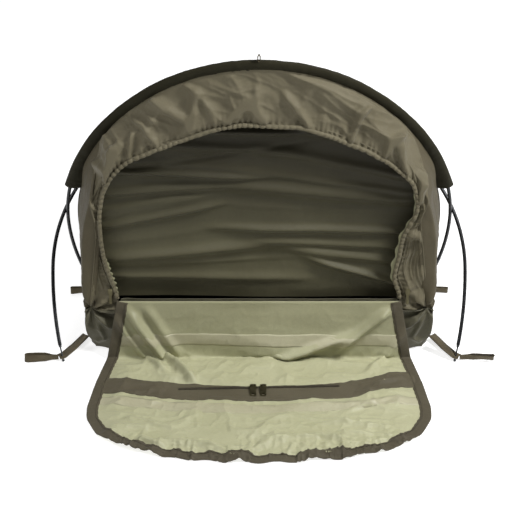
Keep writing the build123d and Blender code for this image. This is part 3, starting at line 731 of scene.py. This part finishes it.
def alongBody(lines, rows):
    # station lines joined by straight cloth, then eased so that no station shows as a crease
    stack = np.stack(lines)
    steps = np.linalg.norm(np.diff(stack, axis=0), axis=-1).mean(axis=1)
    run = np.concatenate([[0.0], np.cumsum(steps)])
    want = np.linspace(0, run[-1], rows)
    flat = stack.reshape(len(lines), -1)
    out = np.stack([np.interp(want, run, flat[:, k]) for k in range(flat.shape[1])], axis=1)
    return smoothLine(out.reshape(rows, -1, 3), 12)


def bodyFolds(x, y, z, along, amount, seed):
    # long drawn folds down the length, crossed by soft dents, over slow waves
    length = along / 2.0
    bent = x / 0.06 + z / 0.05 + 0.6 * cloudNoise(y / 0.35, z / 0.3, seed)
    drawn = creaseNoise(bent, y / 0.55, seed + 1, 3)
    dents = creaseNoise(y / 0.11 + x / 0.4, (x + z) / 0.16, seed + 4, 3)
    slow = cloudNoise(y / 0.34, (x + z) / 0.25, seed + 7, 2)
    grow = easeStep(length, 0.02, 0.12)
    return amount * (0.75 * drawn + 0.75 * dents + 0.9 * slow) * grow


sideLines = [stationLine(s, tubTop - 0.002, s[4], body["side"]) for s in stations]
sideGrid = alongBody(sideLines, body["rows"])
sideAlong = gridLengths(sideGrid.transpose(1, 0, 2))[0].T
sideEdge = np.sin(np.pi * np.linspace(0, 1, body["side"])[None, :]) ** 0.35
rightSide = sideGrid.transpose(1, 0, 2)
leftSide = mirrored(rightSide)
for name, grid, seed in (("left", leftSide, 101), ("right", rightSide, 131)):
    down = sideAlong.T if name == "right" else sideAlong.T[:, ::-1]
    edge = sideEdge.T
    folds = bodyFolds(grid[..., 0] * 0.2, grid[..., 1], grid[..., 2], down, body["fold"], seed) * edge
    points = grid + gridNormals(grid) * folds[..., None]
    clothPiece(f"side_{name}_cloth", points, bodyCloth, f"side_panel_{name}")

roofLines = [fullLine(stationLine(s, s[4], 9.0, body["roof"] // 2)) for s in stations]
roofGrid = alongBody(roofLines, body["rows"])
roofAlong = gridLengths(roofGrid)[1]
roofShare = np.linspace(-1, 1, roofGrid.shape[1])[None, :]
roofFolds = bodyFolds(roofGrid[..., 0], roofGrid[..., 1], roofGrid[..., 2] * 0.3, roofAlong,
                      body["fold"], 151)
roofFolds = roofFolds * (1 - np.abs(roofShare) ** 6)
sag = body["sag"] * np.sin(np.pi * np.clip((roofAlong - 0.4) / 0.9, 0, 1)) * (1 - roofShare**2)
roofPoints = roofGrid + gridNormals(roofGrid) * (roofFolds - sag + 0.0006)[..., None]
splitRow = int(np.argmin(np.abs(roofGrid[:, roofGrid.shape[1] // 2, 1] - 0.175)))
roofPiece = clothPiece("roof_cloth", roofPoints[:splitRow + 1], bodyCloth, "roof_panel")
tailPiece = clothPiece("tail_cloth", roofPoints[splitRow:], bodyCloth, "tail_panel")

# foot end: an upright panel with gathers in its corners
footLine = fullLine(stationLine(stations[-1], tubTop, 9.0, 60))
footShare = np.linspace(0, 1, 50)[:, None]
footGrid = np.stack([footLine[:, 0] + 0 * footShare,
                     footEnd + 0 * footShare + 0 * footLine[:, 0],
                     tubTop + (footLine[:, 2] - tubTop) * footShare], axis=-1)
footBulge = 0.006 * np.sin(np.pi * footShare) * np.cos(np.pi * footGrid[..., 0] / 0.46)
footCrease = 0.0035 * creaseNoise(footGrid[..., 0] / 0.05, footGrid[..., 2] / 0.06, 171)
footBulge = footBulge + footCrease * np.sin(np.pi * footShare)
footGrid[..., 1] = footGrid[..., 1] + footBulge
footPiece = clothPiece("foot_cloth", footGrid[:, ::-1], bodyCloth, "foot_panel")
print("body cloth made")

# tub: walls and floor
tub = {"fold": 0.0036, "rows": 56, "tuck": 0.050, "tuckAlong": 0.030, "tuckHigh": 0.030}
tubStations = [(0.3835, frontY, 0.3815), (0.362, 0.098, 0.3919), (0.352, 0.165, 0.3710),
               (0.320, 0.560, 0.3350), (0.286, 0.800, 0.3000), (0.252, 1.000, 0.2650)]
bottomLine = np.array([(a, y, 0.0022) for a, y, b in tubStations])
bottomLine[0, 1] = frontY + 0.005
bottomLine = resample(bottomLine, 420)
topY = [frontY, 0.0585, 0.165, 0.560, 0.800, 1.000]
topLine = resample(np.array([(b, y, tubTop) for (a, _, b), y in zip(tubStations, topY)]), 420)
bottomLine[:, 1:] = smoothLine(bottomLine[:, 1:], 6)
tubShare = np.linspace(0, 1, tub["rows"])[:, None, None]
tubSide = bottomLine[None] * (1 - tubShare) + topLine[None] * tubShare
tubSide = smoothLine(tubSide.transpose(1, 0, 2), 8).transpose(1, 0, 2)


def tubFolds(along, z, seed):
    dents = creaseNoise(along / 0.07 + z / 0.2, z / 0.07 + along / 0.5, seed, 3)
    crumple = cloudNoise(along / 0.16, z / 0.09, seed + 3, 3)
    return tub["fold"] * (dents + 0.8 * crumple) * np.sin(np.pi * np.clip(z / tubTop, 0.03, 0.97)) ** 0.5


def tuckCorner(points):
    # the front corners are drawn in where the tub meets the ground
    x, y, z = points[..., 0], points[..., 1], points[..., 2]
    near = np.exp(-(((y - frontY) / tub["tuckAlong"]) ** 2) - (z / tub["tuckHigh"]) ** 2)
    near = near * easeStep(np.abs(x), 0.31, 0.384)
    return np.stack([x * (1 - tub["tuck"] * near), y + 0.3 * tub["tuck"] * near, z], axis=-1)


for name, grid, seed in (("left", mirrored(tubSide), 201), ("right", tubSide, 221)):
    folds = tubFolds(grid[..., 1], grid[..., 2], seed)
    near = easeStep(np.abs(grid[..., 1] - frontY), 0.0, 0.02)
    points = grid + gridNormals(grid) * (folds * near)[..., None]
    clothPiece(f"tub_{name}_cloth", tuckCorner(points), tubClothLook,
                                 f"tub_wall_{name}", 0.0014, "tub_cloth")

tubFrontX = np.linspace(-1, 1, 340)[None, :]
tubFrontV = np.linspace(0, 1, 64)[:, None]
frontTop = sillTop - (sillTop - tubTop - 0.001) * easeStep(np.abs(tubFrontX) * 0.383, 0.300, 0.316)
tubFrontZ = 0.0022 + tubFrontV * (frontTop - 0.0022)
tubFrontXs = tubFrontX * (0.3835 - 0.002 * tubFrontV)
tubFrontY = frontY + 0.005 * (1 - easeStep(tubFrontV, 0.0, 0.9)) + 0 * tubFrontX
frontFold = 0.0042 * creaseNoise(tubFrontXs / 0.045, tubFrontZ / 0.05, 241, 3)
frontFold = frontFold + 0.003 * cloudNoise(tubFrontXs / 0.05, tubFrontZ / 0.05, 251)
frontFold = frontFold * np.sin(np.pi * np.clip(tubFrontV, 0.02, 0.98)) ** 0.6
frontFold = frontFold * easeStep(1 - np.abs(tubFrontX), 0.0, 0.03)
# folds: where each starts and ends (across, up), its width, height and lean
cornerFolds = ((0.366, 0.104, 0.343, 0.030, 0.0060, 0.0100, 0.6),
               (0.343, 0.032, 0.376, 0.016, 0.0055, 0.0080, 0.4),
               (0.352, 0.088, 0.322, 0.060, 0.0050, 0.0060, 0.4))
for side, share in ((-1, 0.8), (1, 1.0)):
    # folds that run down from the seam to the corner and back to the door
    for fromX, fromZ, toX, toZ, width, height, lean in cornerFolds:
        start, end = (side * fromX, fromZ), (side * toX, toZ)
        frontFold = frontFold + foldLine(tubFrontXs, tubFrontZ, start, end, width, height * share, lean)
frontFold = frontFold + cornerPucker(tubFrontXs, tubFrontZ) * easeStep(tubFrontV, 0.0, 0.3)
tubFrontGrid = np.stack([tubFrontXs, tubFrontY - frontFold, tubFrontZ + 0 * tubFrontXs], axis=-1)
tubFrontPiece = clothPiece("tub_front_cloth", tuckCorner(tubFrontGrid), tubClothLook,
                           "tub_wall_front", 0.0014, "tub_cloth")
tubFootX = np.linspace(1, -1, 120)[None, :]
tubFootV = np.linspace(0, 1, 30)[:, None]
tubFootXs = tubFootX * (0.252 + 0.013 * tubFootV)
tubFootZ = 0.0022 + tubFootV * (tubTop - 0.0022) + 0 * tubFootXs
tubFootFold = tubFolds(tubFootXs, tubFootZ, 261) * easeStep(1 - np.abs(tubFootX), 0.0, 0.06)
tubFootGrid = np.stack([tubFootXs, footEnd + tubFootFold, tubFootZ], axis=-1)
tubFootPiece = clothPiece("tub_foot_cloth", tubFootGrid, tubClothLook, "tub_wall_foot", 0.0014, "tub_cloth")

floorX = np.linspace(-1, 1, 90)[None, :]
floorEdge = bottomLine[:, 0][::2][:, None]
floorYs = bottomLine[:, 1][::2][:, None] + 0 * floorX
floorXs = floorEdge * floorX
floorZ = 0.0016 + 0.0009 * (cloudNoise(floorXs / 0.12, floorYs / 0.12, 271) + 0.6)
floorGrid = tuckCorner(np.stack([floorXs, floorYs, floorZ], axis=-1))
floorPiece = clothPiece("floor_cloth", floorGrid, tubClothLook, "floor_panel", 0.0012, "tub_cloth")
print("tub made")

# sleeves
sleeve = {"rows": 520, "wrinkle": 0.0012}


def sleeveSection():
    # flat at the body, swelling round the pole, closed at the rim: (distance from the pole, half width)
    r = np.array([-0.0245, -0.018, -0.012, -0.007, -0.003, 0.001, 0.0045, 0.0072, 0.0088, 0.0096])
    w = np.array([0.0010, 0.0022, 0.0040, 0.0054, 0.0061, 0.0061, 0.0052, 0.0036, 0.0018, 0.0])
    return np.concatenate([np.stack([r, w], axis=1), np.stack([r[-2::-1], -w[-2::-1]], axis=1)])


for key, seed in (("front", 301), ("rear", 331)):
    shape, originY, lean, start = hoops[key]
    half = archHalf(shape, start, 0.0, sleeve["rows"] // 2)
    flatLine = np.concatenate([half * [-1, 1], half[::-1][1:]])
    ahead = unitVectors(np.gradient(flatLine, axis=0))
    outward = np.stack([-ahead[:, 1], ahead[:, 0]], axis=1)
    section = sleeveSection()
    run = runAlong(flatLine)[:, None]
    r, w = section[None, :, 0], section[None, :, 1]
    ripple = sleeve["wrinkle"] * (creaseNoise(run / 0.030, np.sign(w) + r * 40, seed, 3)
                                  + 0.8 * cloudNoise(run / 0.012, r * 60 + np.sign(w) * 3, seed + 5, 2))
    rim = 0.0006 * cloudNoise(run / 0.040, 0 * run, seed + 9, 3) * np.clip((r + 0.004) / 0.012, 0, 1)
    width = w + np.sign(w) * ripple
    endFlare = 1 + 0.25 * np.exp(-np.minimum(run, run[-1] - run) / 0.02)
    inPlane = flatLine[:, None, :] + outward[:, None, :] * (r + rim)[..., None] * endFlare[..., None]
    tilt = np.radians(lean)
    sideways = width * endFlare
    x = inPlane[..., 0]
    y = originY + inPlane[..., 1] * np.sin(tilt) - sideways * np.cos(tilt)
    z = inPlane[..., 1] * np.cos(tilt) + sideways * np.sin(tilt)
    obj = gridObject(f"sleeve_{key}_cloth", np.stack([x, y, z], axis=-1), sleeveClothLook, wrapColumns=True)
    thicken(obj, 0.0010)
    place(obj, "bivy_body", "sleeve_cloth", f"sleeve_{key}")
print("sleeves made")

# door: laid open on the ground, worked out on its flat cut (across, down from the sill)
door = {"apron": 0.1352, "columns": 330, "rows": 190, "border": 0.022, "crease": 0.0125,
        "ridge": 0.0200, "slack": 0.0045}
profileCorners = np.array([(-0.1665, 0.1370), (-0.1862, 0.0030), (-0.1925, 0.0013), (-0.75, 0.0013)])
profile = resample(profileCorners, 2400)
profile = smoothLine(profile, 26)
profileRun = runAlong(profile)
profileTurn = unitVectors(np.gradient(profile, axis=0))


def flatDepth(y):
    # distance down the door's cut of a place on the ground
    return np.interp(-np.asarray(y, float), -profile[:, 0], profileRun)


# ridges: start and end (across, down), width, share of the height, lean
doorRidges = ((-0.286, 0.016, -0.125, 0.262, 0.0095, 1.0, 0.5),
              (-0.322, 0.035, -0.190, 0.215, 0.008, 0.55, -0.4),
              (-0.250, 0.005, -0.170, 0.140, 0.010, 0.45, 0.0),
              (0.288, 0.016, 0.172, 0.112, 0.0100, 1.0, 0.0),
              (0.205, 0.080, 0.015, 0.142, 0.0095, 0.9, 0.6), (0.330, 0.060, 0.235, 0.200, 0.0085, 0.5, 0.0))


def doorFolds(x, s):
    # ridges drawn from the sill's corners, a pocket at the fold, small creases along the far edge
    total = 0.0
    for fromX, fromS, toX, toS, width, share, lean in doorRidges:
        total = total + foldLine(x, s, (fromX, fromS), (toX, toS), width, door["ridge"] * share, lean)
    for k in range(22):
        # short creases that run in from the border and across the laid part
        side = -1 if k % 2 else 1
        startX = side * (0.315 - 0.040 * (k % 5))
        startS = 0.225 + 0.0125 * k
        endX = startX - side * (0.07 + 0.06 * np.sin(k * 1.7) ** 2)
        endS = startS + 0.045 * np.sin(k * 2.3 + 0.5)
        total = total + foldLine(x, s, (startX, startS), (endX, endS), 0.0042 + 0.0025 * np.sin(k) ** 2,
                                 0.0052 * (0.55 + 0.45 * np.cos(k * 1.1)), 0.8)
    pocket = np.exp(-(((x - 0.055) / 0.085) ** 2 + ((s - 0.118) / 0.030) ** 2))
    total = total + 0.0120 * pocket
    billow = np.sin(np.pi * np.clip(s / door["apron"], 0, 1)) * (1 - (x / 0.33) ** 2)
    total = total + 0.0045 * billow
    crease = creaseNoise(x / 0.085 + s / 0.3, s / 0.055 - x / 0.5, 401, 3)
    fine = creaseNoise(x / 0.026 + s / 0.05, s / 0.024 - x / 0.12, 411, 3)
    far = easeStep(s, 0.36, 0.50)
    laid = easeStep(s, 0.10, 0.17)
    creases = door["crease"] * crease * (0.8 + 0.6 * far) + 0.0040 * fine * (0.4 + far)
    total = total + creases * (0.22 + 0.78 * laid)
    total = total + 0.0060 * cloudNoise(x / 0.16, s / 0.10, 421, 2)
    zip_ = np.exp(-(((s - flatDepth(-0.315)) / 0.030) ** 4)) * (1 - easeStep(np.abs(x), 0.190, 0.235))
    total = total * (1 - 0.86 * zip_)
    inner = easeStep(0.345 - np.abs(x), 0.005, 0.060)
    total = total * (0.10 + 0.90 * inner)
    slack = door["slack"] * inner * (1 - zip_) * (1 - easeStep(s, 0.485, 0.515))
    rim = creaseNoise(x / 0.026, s / 0.11 + x / 0.3, 431, 2) * easeStep(s, 0.40, 0.47) * 0.0085
    total = total + rim + 0.003 * easeStep(s, 0.42, 0.49) * (cloudNoise(x / 0.07, s / 0.2, 437, 2) + 0.4)
    top = easeStep(s, 0.0, 0.034)
    ground = easeStep(s, 0.135, 0.165)
    low = total * (1 - ground) * top + np.maximum(total + slack, 0.0) * ground
    return np.where(low > 0, low, np.maximum(low, -0.004))


def doorAt(x, s, lift=0.0):
    # the place on the laid door of a point of its cut, raised off the cloth by lift
    y = np.interp(s, profileRun, profile[:, 0])
    z = np.interp(s, profileRun, profile[:, 1])
    ty = np.interp(s, profileRun, profileTurn[:, 0])
    tz = np.interp(s, profileRun, profileTurn[:, 1])
    raised = doorFolds(x, s) + lift
    return np.stack([x + 0 * y, y + tz * raised, z - ty * raised], axis=-1)


farX = np.array([0.0, 0.06, 0.17, 0.25, 0.305, 0.330, 0.342])
farY = np.array([-0.5590, -0.5580, -0.5460, -0.5230, -0.4920, -0.4700, -0.4460])
edgeCorners = np.array([(0.308, 0.0), (0.334, 0.137), (0.350, 0.137 + 0.095), (0.360, 0.137 + 0.186),
                        (0.357, 0.137 + 0.225), (0.342, flatDepth(-0.446))])
edgeFine = np.array([np.interp(np.linspace(0, 1, 400), np.linspace(0, 1, len(edgeCorners)), edgeCorners[:, k])
                     for k in (0, 1)]).T
edgeFine = smoothLine(edgeFine, 16)


def doorCut(a, v):
    # a from -1 to 1 across, v from 0 at the sill to 1 at the far edge
    half = np.interp(v, np.linspace(0, 1, 400), edgeFine[:, 0])
    depth = np.interp(v, np.linspace(0, 1, 400), edgeFine[:, 1])
    farDepth = flatDepth(np.interp(np.abs(a) * 0.342, farX, farY))
    sideDepth = edgeFine[-1, 1]
    farDepth = farDepth + 0.0034 * np.sin(a * 27 + 2.0 * np.sin(a * 3 + 1)) * (1 - a**4)
    stretch = 1 + (farDepth / sideDepth - 1) * easeStep(v, 0.25, 1.0)
    return a * half, depth * stretch


doorA = np.linspace(-0.988, 0.988, door["columns"])[None, :]
doorV = np.linspace(0, 0.988, door["rows"])[:, None]
doorX, doorS = doorCut(doorA + 0 * doorV, doorV + 0 * doorA)
doorPiece = gridObject("door_cloth", doorAt(doorX, doorS), doorInnerLook,
                       uv=np.stack([doorX, doorS], axis=-1))
thicken(doorPiece, 0.0009)

# the binding's path: down the left edge, along the far edge and back up the right one
edgeV = np.linspace(0, 1, 500)
leftEdge = np.stack(doorCut(-np.ones(500), edgeV), axis=1)
farEdge = np.stack(doorCut(np.linspace(-1, 1, 700), np.ones(700)), axis=1)
rightEdge = np.stack(doorCut(np.ones(500), edgeV[::-1]), axis=1)
edgePath = resample(np.concatenate([leftEdge, farEdge[1:-1], rightEdge]), 1400)
edgePath = smoothLine(edgePath, 14)
edgeAhead = unitVectors(np.gradient(edgePath, axis=0))
edgeInward = smoothLine(np.stack([edgeAhead[:, 1], -edgeAhead[:, 0]], axis=1), 20)
doorCentre = np.array([0.0, 0.22])
edgeInward = edgeInward * np.sign(np.sum(edgeInward * (doorCentre - edgePath), axis=1, keepdims=True))
edgeRun = runAlong(edgePath)


def borderStrip(name, inside, outside, lift, thickness, material, scallop=0.0, columns=12):
    share = np.linspace(0, 1, columns)[None, :]
    drift = cloudNoise(edgeRun / 0.05, edgeRun * 0, 433)
    beat = scallop * np.abs(np.sin(np.pi * (edgeRun / 0.017 + drift)))[:, None]
    reach = outside + (inside + beat - outside) * share
    flat = edgePath[:, None, :] + edgeInward[:, None, :] * reach[..., None]
    puff = lift + 0.0007 * np.sin(np.pi * share)
    puff = puff + 0.0005 * cloudNoise(edgeRun[:, None] / 0.012, share * 2, 441, 2)
    points = doorAt(flat[..., 0], np.maximum(flat[..., 1], 0.0), puff)
    uv = np.stack([edgeRun[:, None] + 0 * share, reach], axis=-1)
    obj = gridObject(name, points[:, ::-1], material, uv=uv[:, ::-1])
    thicken(obj, thickness)
    return obj


bindingPiece = borderStrip("door_binding_cloth", door["border"], -0.0012, 0.0018, 0.0016, bindingLook, 0.0012)
stitchPiece = borderStrip("door_stitching", 0.0186, 0.0176, 0.0026, 0.0005, threadLook, 0.0, 3)

# seam tapes, and the band with its zip


def crossStrip(name, centre, half, bend, lift, thickness, material, rows=9, reach=0.99):
    # a strip right across the door, at a depth that bends with the place across
    vGuess = np.interp(centre, doorS[:, door["columns"] // 2], doorV[:, 0])
    halfX = np.interp(vGuess, np.linspace(0, 1, 400), edgeFine[:, 0]) - door["border"] * 0.75
    x = np.linspace(-1, 1, 420)[None, :] * halfX * reach
    share = np.linspace(-1, 1, rows)[:, None]
    middle = centre + bend(x) + 0.0012 * cloudNoise(x / 0.06, x * 0, 451, 2)
    edgeBow = 0.0008 * cloudNoise(x / 0.02, share * 3, 457, 2)
    s = middle + share * half + edgeBow * share
    points = doorAt(x + 0 * share, s, lift + 0.0005 * np.cos(share * np.pi / 2) + 0 * x)
    obj = gridObject(name, points, material, uv=np.stack([x + 0 * share, s], axis=-1))
    thicken(obj, thickness)
    return obj


apronTape = crossStrip("apron_seam_tape_strip", 0.090, 0.014, lambda x: 0.004 * (x / 0.3) ** 2,
                       0.0006, 0.0004, tapeLook)
farTape = crossStrip("door_seam_tape_strip", float(flatDepth(-0.381)), 0.0145,
                     lambda x: -0.030 * (x / 0.34) ** 2, 0.0006, 0.0004, tapeLook)


def bandBend(x):
    # the band's ends run nearer to the body, more so on the right
    return np.where(x < 0, -0.033, -0.058) * (np.abs(x) / 0.34) ** 2.2


bandPiece = crossStrip("door_zip_band_cloth", float(flatDepth(-0.327)), 0.0290, bandBend, 0.0010, 0.0009,
                       bandLook, rows=14, reach=1.0)

coil = {"pitch": 0.0028, "half": 0.0036, "teeth": 0.0006, "reach": 0.172}
coilX = np.linspace(-coil["reach"], coil["reach"], 1240)[:, None]
coilTurn = np.linspace(0, 2 * np.pi, 10, endpoint=False)[None, :]
tooth = coil["teeth"] * np.sin(2 * np.pi * coilX / coil["pitch"])
coilCentre = float(flatDepth(-0.303)) - 0.010 * coilX / coil["reach"] * 0.6
coilS = coilCentre + (coil["half"] + tooth) * np.cos(coilTurn)
coilLift = 0.0030 + (0.0013 + tooth * 0.6) * np.sin(coilTurn)
coilBase = doorAt(coilX + 0 * coilTurn, coilS, 0.0)
coilPoints = coilBase + np.stack([0 * coilLift, 0 * coilLift, coilLift], axis=-1)
coilPiece = gridObject("door_zip_teeth", coilPoints[:, ::-1], coilLook, wrapColumns=True)
capEnds(coilPiece, 1240, 10)

for piece in (doorPiece, bindingPiece, stitchPiece):
    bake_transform(piece)
for piece, slot, nodes in ((doorPiece, "door_cloth", ("door_apron", "door_panel")),
                           (bindingPiece, "binding", ("door_binding", "apron_binding"))):
    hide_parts(*nodes)
place(apronTape, "door_apron", "seam_tape", "apron_seam_tape")
place(farTape, "door_main", "seam_tape", "door_seam_tape")
place(bandPiece, "door_main", "zip_tape", "door_zip_band")
place(coilPiece, "door_main", "zip_coil", "door_zip_coil")
print("door made")

# webbing: straps, peg loops, hang loop
webbing = {"width": 0.020, "thick": 0.0015}


def ribbon(name, path, across, width, thickness, material, closed=False):
    # a flat band along a path; across is the direction of its width at each point
    path = np.asarray(path, float)
    ahead = np.roll(path, -1, 0) - np.roll(path, 1, 0) if closed else np.gradient(path, axis=0)
    ahead = unitVectors(ahead)
    across = np.broadcast_to(np.asarray(across, float), path.shape)
    across = unitVectors(across - ahead * np.sum(across * ahead, axis=1, keepdims=True))
    up = np.cross(ahead, across)
    width = np.broadcast_to(np.asarray(width, float), (len(path),))[:, None, None] / 2
    half = thickness / 2
    u = np.array([-1, -0.6, -0.2, 0.2, 0.6, 1, 1.02, 1, 0.6, 0.2, -0.2, -0.6, -1, -1.02])[None, :, None]
    v = np.array([1, 1, 1, 1, 1, 1, 0, -1, -1, -1, -1, -1, -1, 0])[None, :, None] * half
    points = path[:, None, :] + across[:, None, :] * u * width + up[:, None, :] * v
    lengths = runAlong(path)
    uv = np.stack([lengths[:, None] + 0 * u[..., 0], (u * width)[..., 0] + 0 * lengths[:, None]], axis=-1)
    obj = gridObject(name, points[:, ::-1], material, wrapRows=closed, wrapColumns=True, uv=uv[:, ::-1])
    if not closed:
        capEnds(obj, len(path), 14)
    return obj


def curveThrough(points, count=60, reach=5):
    return smoothLine(resample(np.array(points, float), count), reach)


def strapPiece(name, patch, wall, floor, node, side):
    # two legs of webbing from the body's side down to the patch under the pole's tip
    x, y = patch
    disc = []
    for spot, lean in ((wall, 0.0), (floor, 1.0)):
        path = [(x + side * 0.007, y, 0.0092), (x - side * 0.004, y + (spot[1] - y) * 0.10, 0.0094),
                ((x + spot[0]) * 0.5, (y + spot[1]) * 0.5, 0.0080 + (spot[2] - 0.010) * 0.42),
                spot]
        line = curveThrough(path, 50, 4)
        line[:, 2] = line[:, 2] + 0.0008 * lean
        leg = ribbon(f"{name}_leg", line, (0.25 * side, 1.0, 0.0), webbing["width"], webbing["thick"],
                     webbingLook)
        disc.append(leg)
    piece = joinObjects(name, disc)
    place(piece, "bivy_body", "webbing", node)
    return piece


frontPatch, rearPatch = (0.43302, -0.19294), (0.38334, 0.09460)
strapPieces = []
for side, name in ((-1, "left"), (1, "right")):
    strapPieces.append(strapPiece(f"front_strap_{name}_webbing", (side * frontPatch[0], frontPatch[1]),
                                  (side * 0.3855, -0.150, 0.040), (side * 0.390, -0.108, 0.0105),
                                  f"front_strap_{name}", side))
    strapPieces.append(strapPiece(f"rear_strap_{name}_webbing", (side * rearPatch[0], rearPatch[1]),
                                  (side * 0.3625, 0.140, 0.0120), (side * 0.3615, 0.084, 0.0105),
                                  f"rear_strap_{name}", side))


def pegLoop(node, side, foot, end, eye, gap, lean):
    # webbing folded back on itself and standing on its edge, open in the middle for a peg
    footX, footY = foot
    near, far = footX + 0.0090, end
    openAt = far - eye
    turn = np.linspace(-np.pi / 2, np.pi / 2, 24)
    radius = gap / 2
    out = [(near, -0.0008), (openAt - 0.004, -0.0010), (openAt + 0.010, -radius * 0.9),
           (far - radius - 0.006, -radius)]
    end_ = [(far - radius + radius * np.cos(a), radius * np.sin(a)) for a in turn]
    back = [(x, -y) for x, y in out[::-1]]
    plan = smoothLine(resample(np.array(out + end_ + back), 150), 3)
    path = np.stack([side * plan[:, 0], footY + plan[:, 1], np.full(len(plan), 0.0086)], axis=1)
    outFrom = np.clip((plan[:, 0] - near) / 0.05, 0, 1)
    tilt = lean * outFrom
    across = np.stack([0 * tilt, np.sin(tilt), np.cos(tilt)], axis=1)
    ripple = 0.0012 * np.sin(np.linspace(0, 9, len(plan)))
    path[:, 2] = path[:, 2] + (ripple - 0.002 * np.sin(lean)) * outFrom
    obj = ribbon(f"{node}_webbing", path, across, 0.0150 - 0.004 * (1 - outFrom), 0.0014, webbingLook)
    place(obj, node, "webbing", node)
    return obj


for values in (
    ("front_peg_loop_left", -1, frontPatch, 0.516, 0.056, 0.0130, 0.30),
    ("front_peg_loop_right", 1, frontPatch, 0.517, 0.056, 0.0110, -0.55),
    ("rear_peg_loop_left", -1, rearPatch, 0.447, 0.034, 0.0080, 0.2),
    ("rear_peg_loop_right", 1, rearPatch, 0.448, 0.034, 0.0080, -0.3),
):
    pegLoop(*values)

# the foot end, rolled up: one long cloth wound from the core outwards
roll = {"core": 0.012, "outer": 0.0525, "turns": 5.2, "half": 0.246, "columns": 150, "steps": 560}
rollTurn = np.linspace(0, 1, roll["steps"])[:, None]
rollAcross = np.linspace(-1, 1, roll["columns"])[None, :]
rollAngle = 2 * np.pi * roll["turns"] * (1 - rollTurn) - 0.5 * np.pi
rollRadius = roll["outer"] - (roll["outer"] - roll["core"]) * rollTurn
rollNoise = cloudNoise(rollAcross / 0.35 + rollTurn * 3, rollAngle / 2.4, 501, 3)
rollDents = creaseNoise(rollAcross / 0.16, rollAngle / 1.1, 507, 3) * (1 - rollTurn) ** 2
rollRadius = rollRadius + 0.0012 * rollNoise - 0.0030 * (0.5 - rollDents) * easeStep(1 - rollTurn, 0.6, 0.9)
rollHalf = roll["half"] + 0.004 * cloudNoise(rollAngle / 1.3, np.sign(rollAcross), 511, 2)
rollY = footEnd + 0.055 + rollRadius * np.cos(rollAngle) * 1.02
rollZ = 0.0535 + rollRadius * np.sin(rollAngle) * 0.985
rollPoints = np.stack([rollAcross * rollHalf, rollY + 0 * rollAcross, rollZ + 0 * rollAcross], axis=-1)
rollPiece = clothPiece("foot_roll_cloth", rollPoints[:, ::-1], bodyCloth, "foot_roll", 0.0022)

tilt = np.radians(hoops["front"][2])
turn = np.linspace(0, 2 * np.pi, 60, endpoint=False)
loopX = 0.0021 * np.cos(turn)
loopH = 0.7425 + 0.0075 * np.sin(turn)
loopPath = np.stack([loopX, 0.098 + loopH * np.sin(tilt), loopH * np.cos(tilt)], axis=1)
hangPiece = ribbon("hang_loop_webbing", loopPath, (0, np.cos(tilt), np.sin(tilt)), 0.012, 0.0013, webbingLook,
                    closed=True)
place(hangPiece, "bivy_body", "webbing", "hang_loop")

# entrance zip: teeth round the entrance, outside the hood's hem
zipHalf = onPlane(archHalf(entranceShape, sillTop + 0.012, 0.0100, 900), frontY + 0.0050, 0.0)
zipLine = slackHem(fullLine(zipHalf))
zipRun = runAlong(zipLine)
zipBase = zipLine + np.array([0.0, -0.0004, 0.0])
zipRadius = 0.0012 + 0.0003 * np.sin(2 * np.pi * zipRun / 0.0032)
zipTeeth = tubeAlong("entrance_zip_teeth", zipBase, zipRadius, bodyCloth, 8, up=(0, 1, 0))
place(zipTeeth, "bivy_body", "zip_coil", "entrance_zip")
print("webbing and entrance zip made")

# looks of the CAD pieces that stay
kept = {
    "front_pole": poleLook, "rear_pole": poleLook, "ferrules": ferruleLook, "tips": ferruleLook,
    "shock_cord": cordLook,
    "zip_slider": brassLook, "zip_pull": brassLook, "entrance_slider": brassLook, "strap_grommets": brassLook,
}
for nodeName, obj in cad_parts.items():
    look = next((m for k, m in reversed(list(kept.items())) if k in nodeName), None)
    if look is not None:
        obj.data.materials.clear()
        obj.data.materials.append(look)
print("kept pieces have their looks")
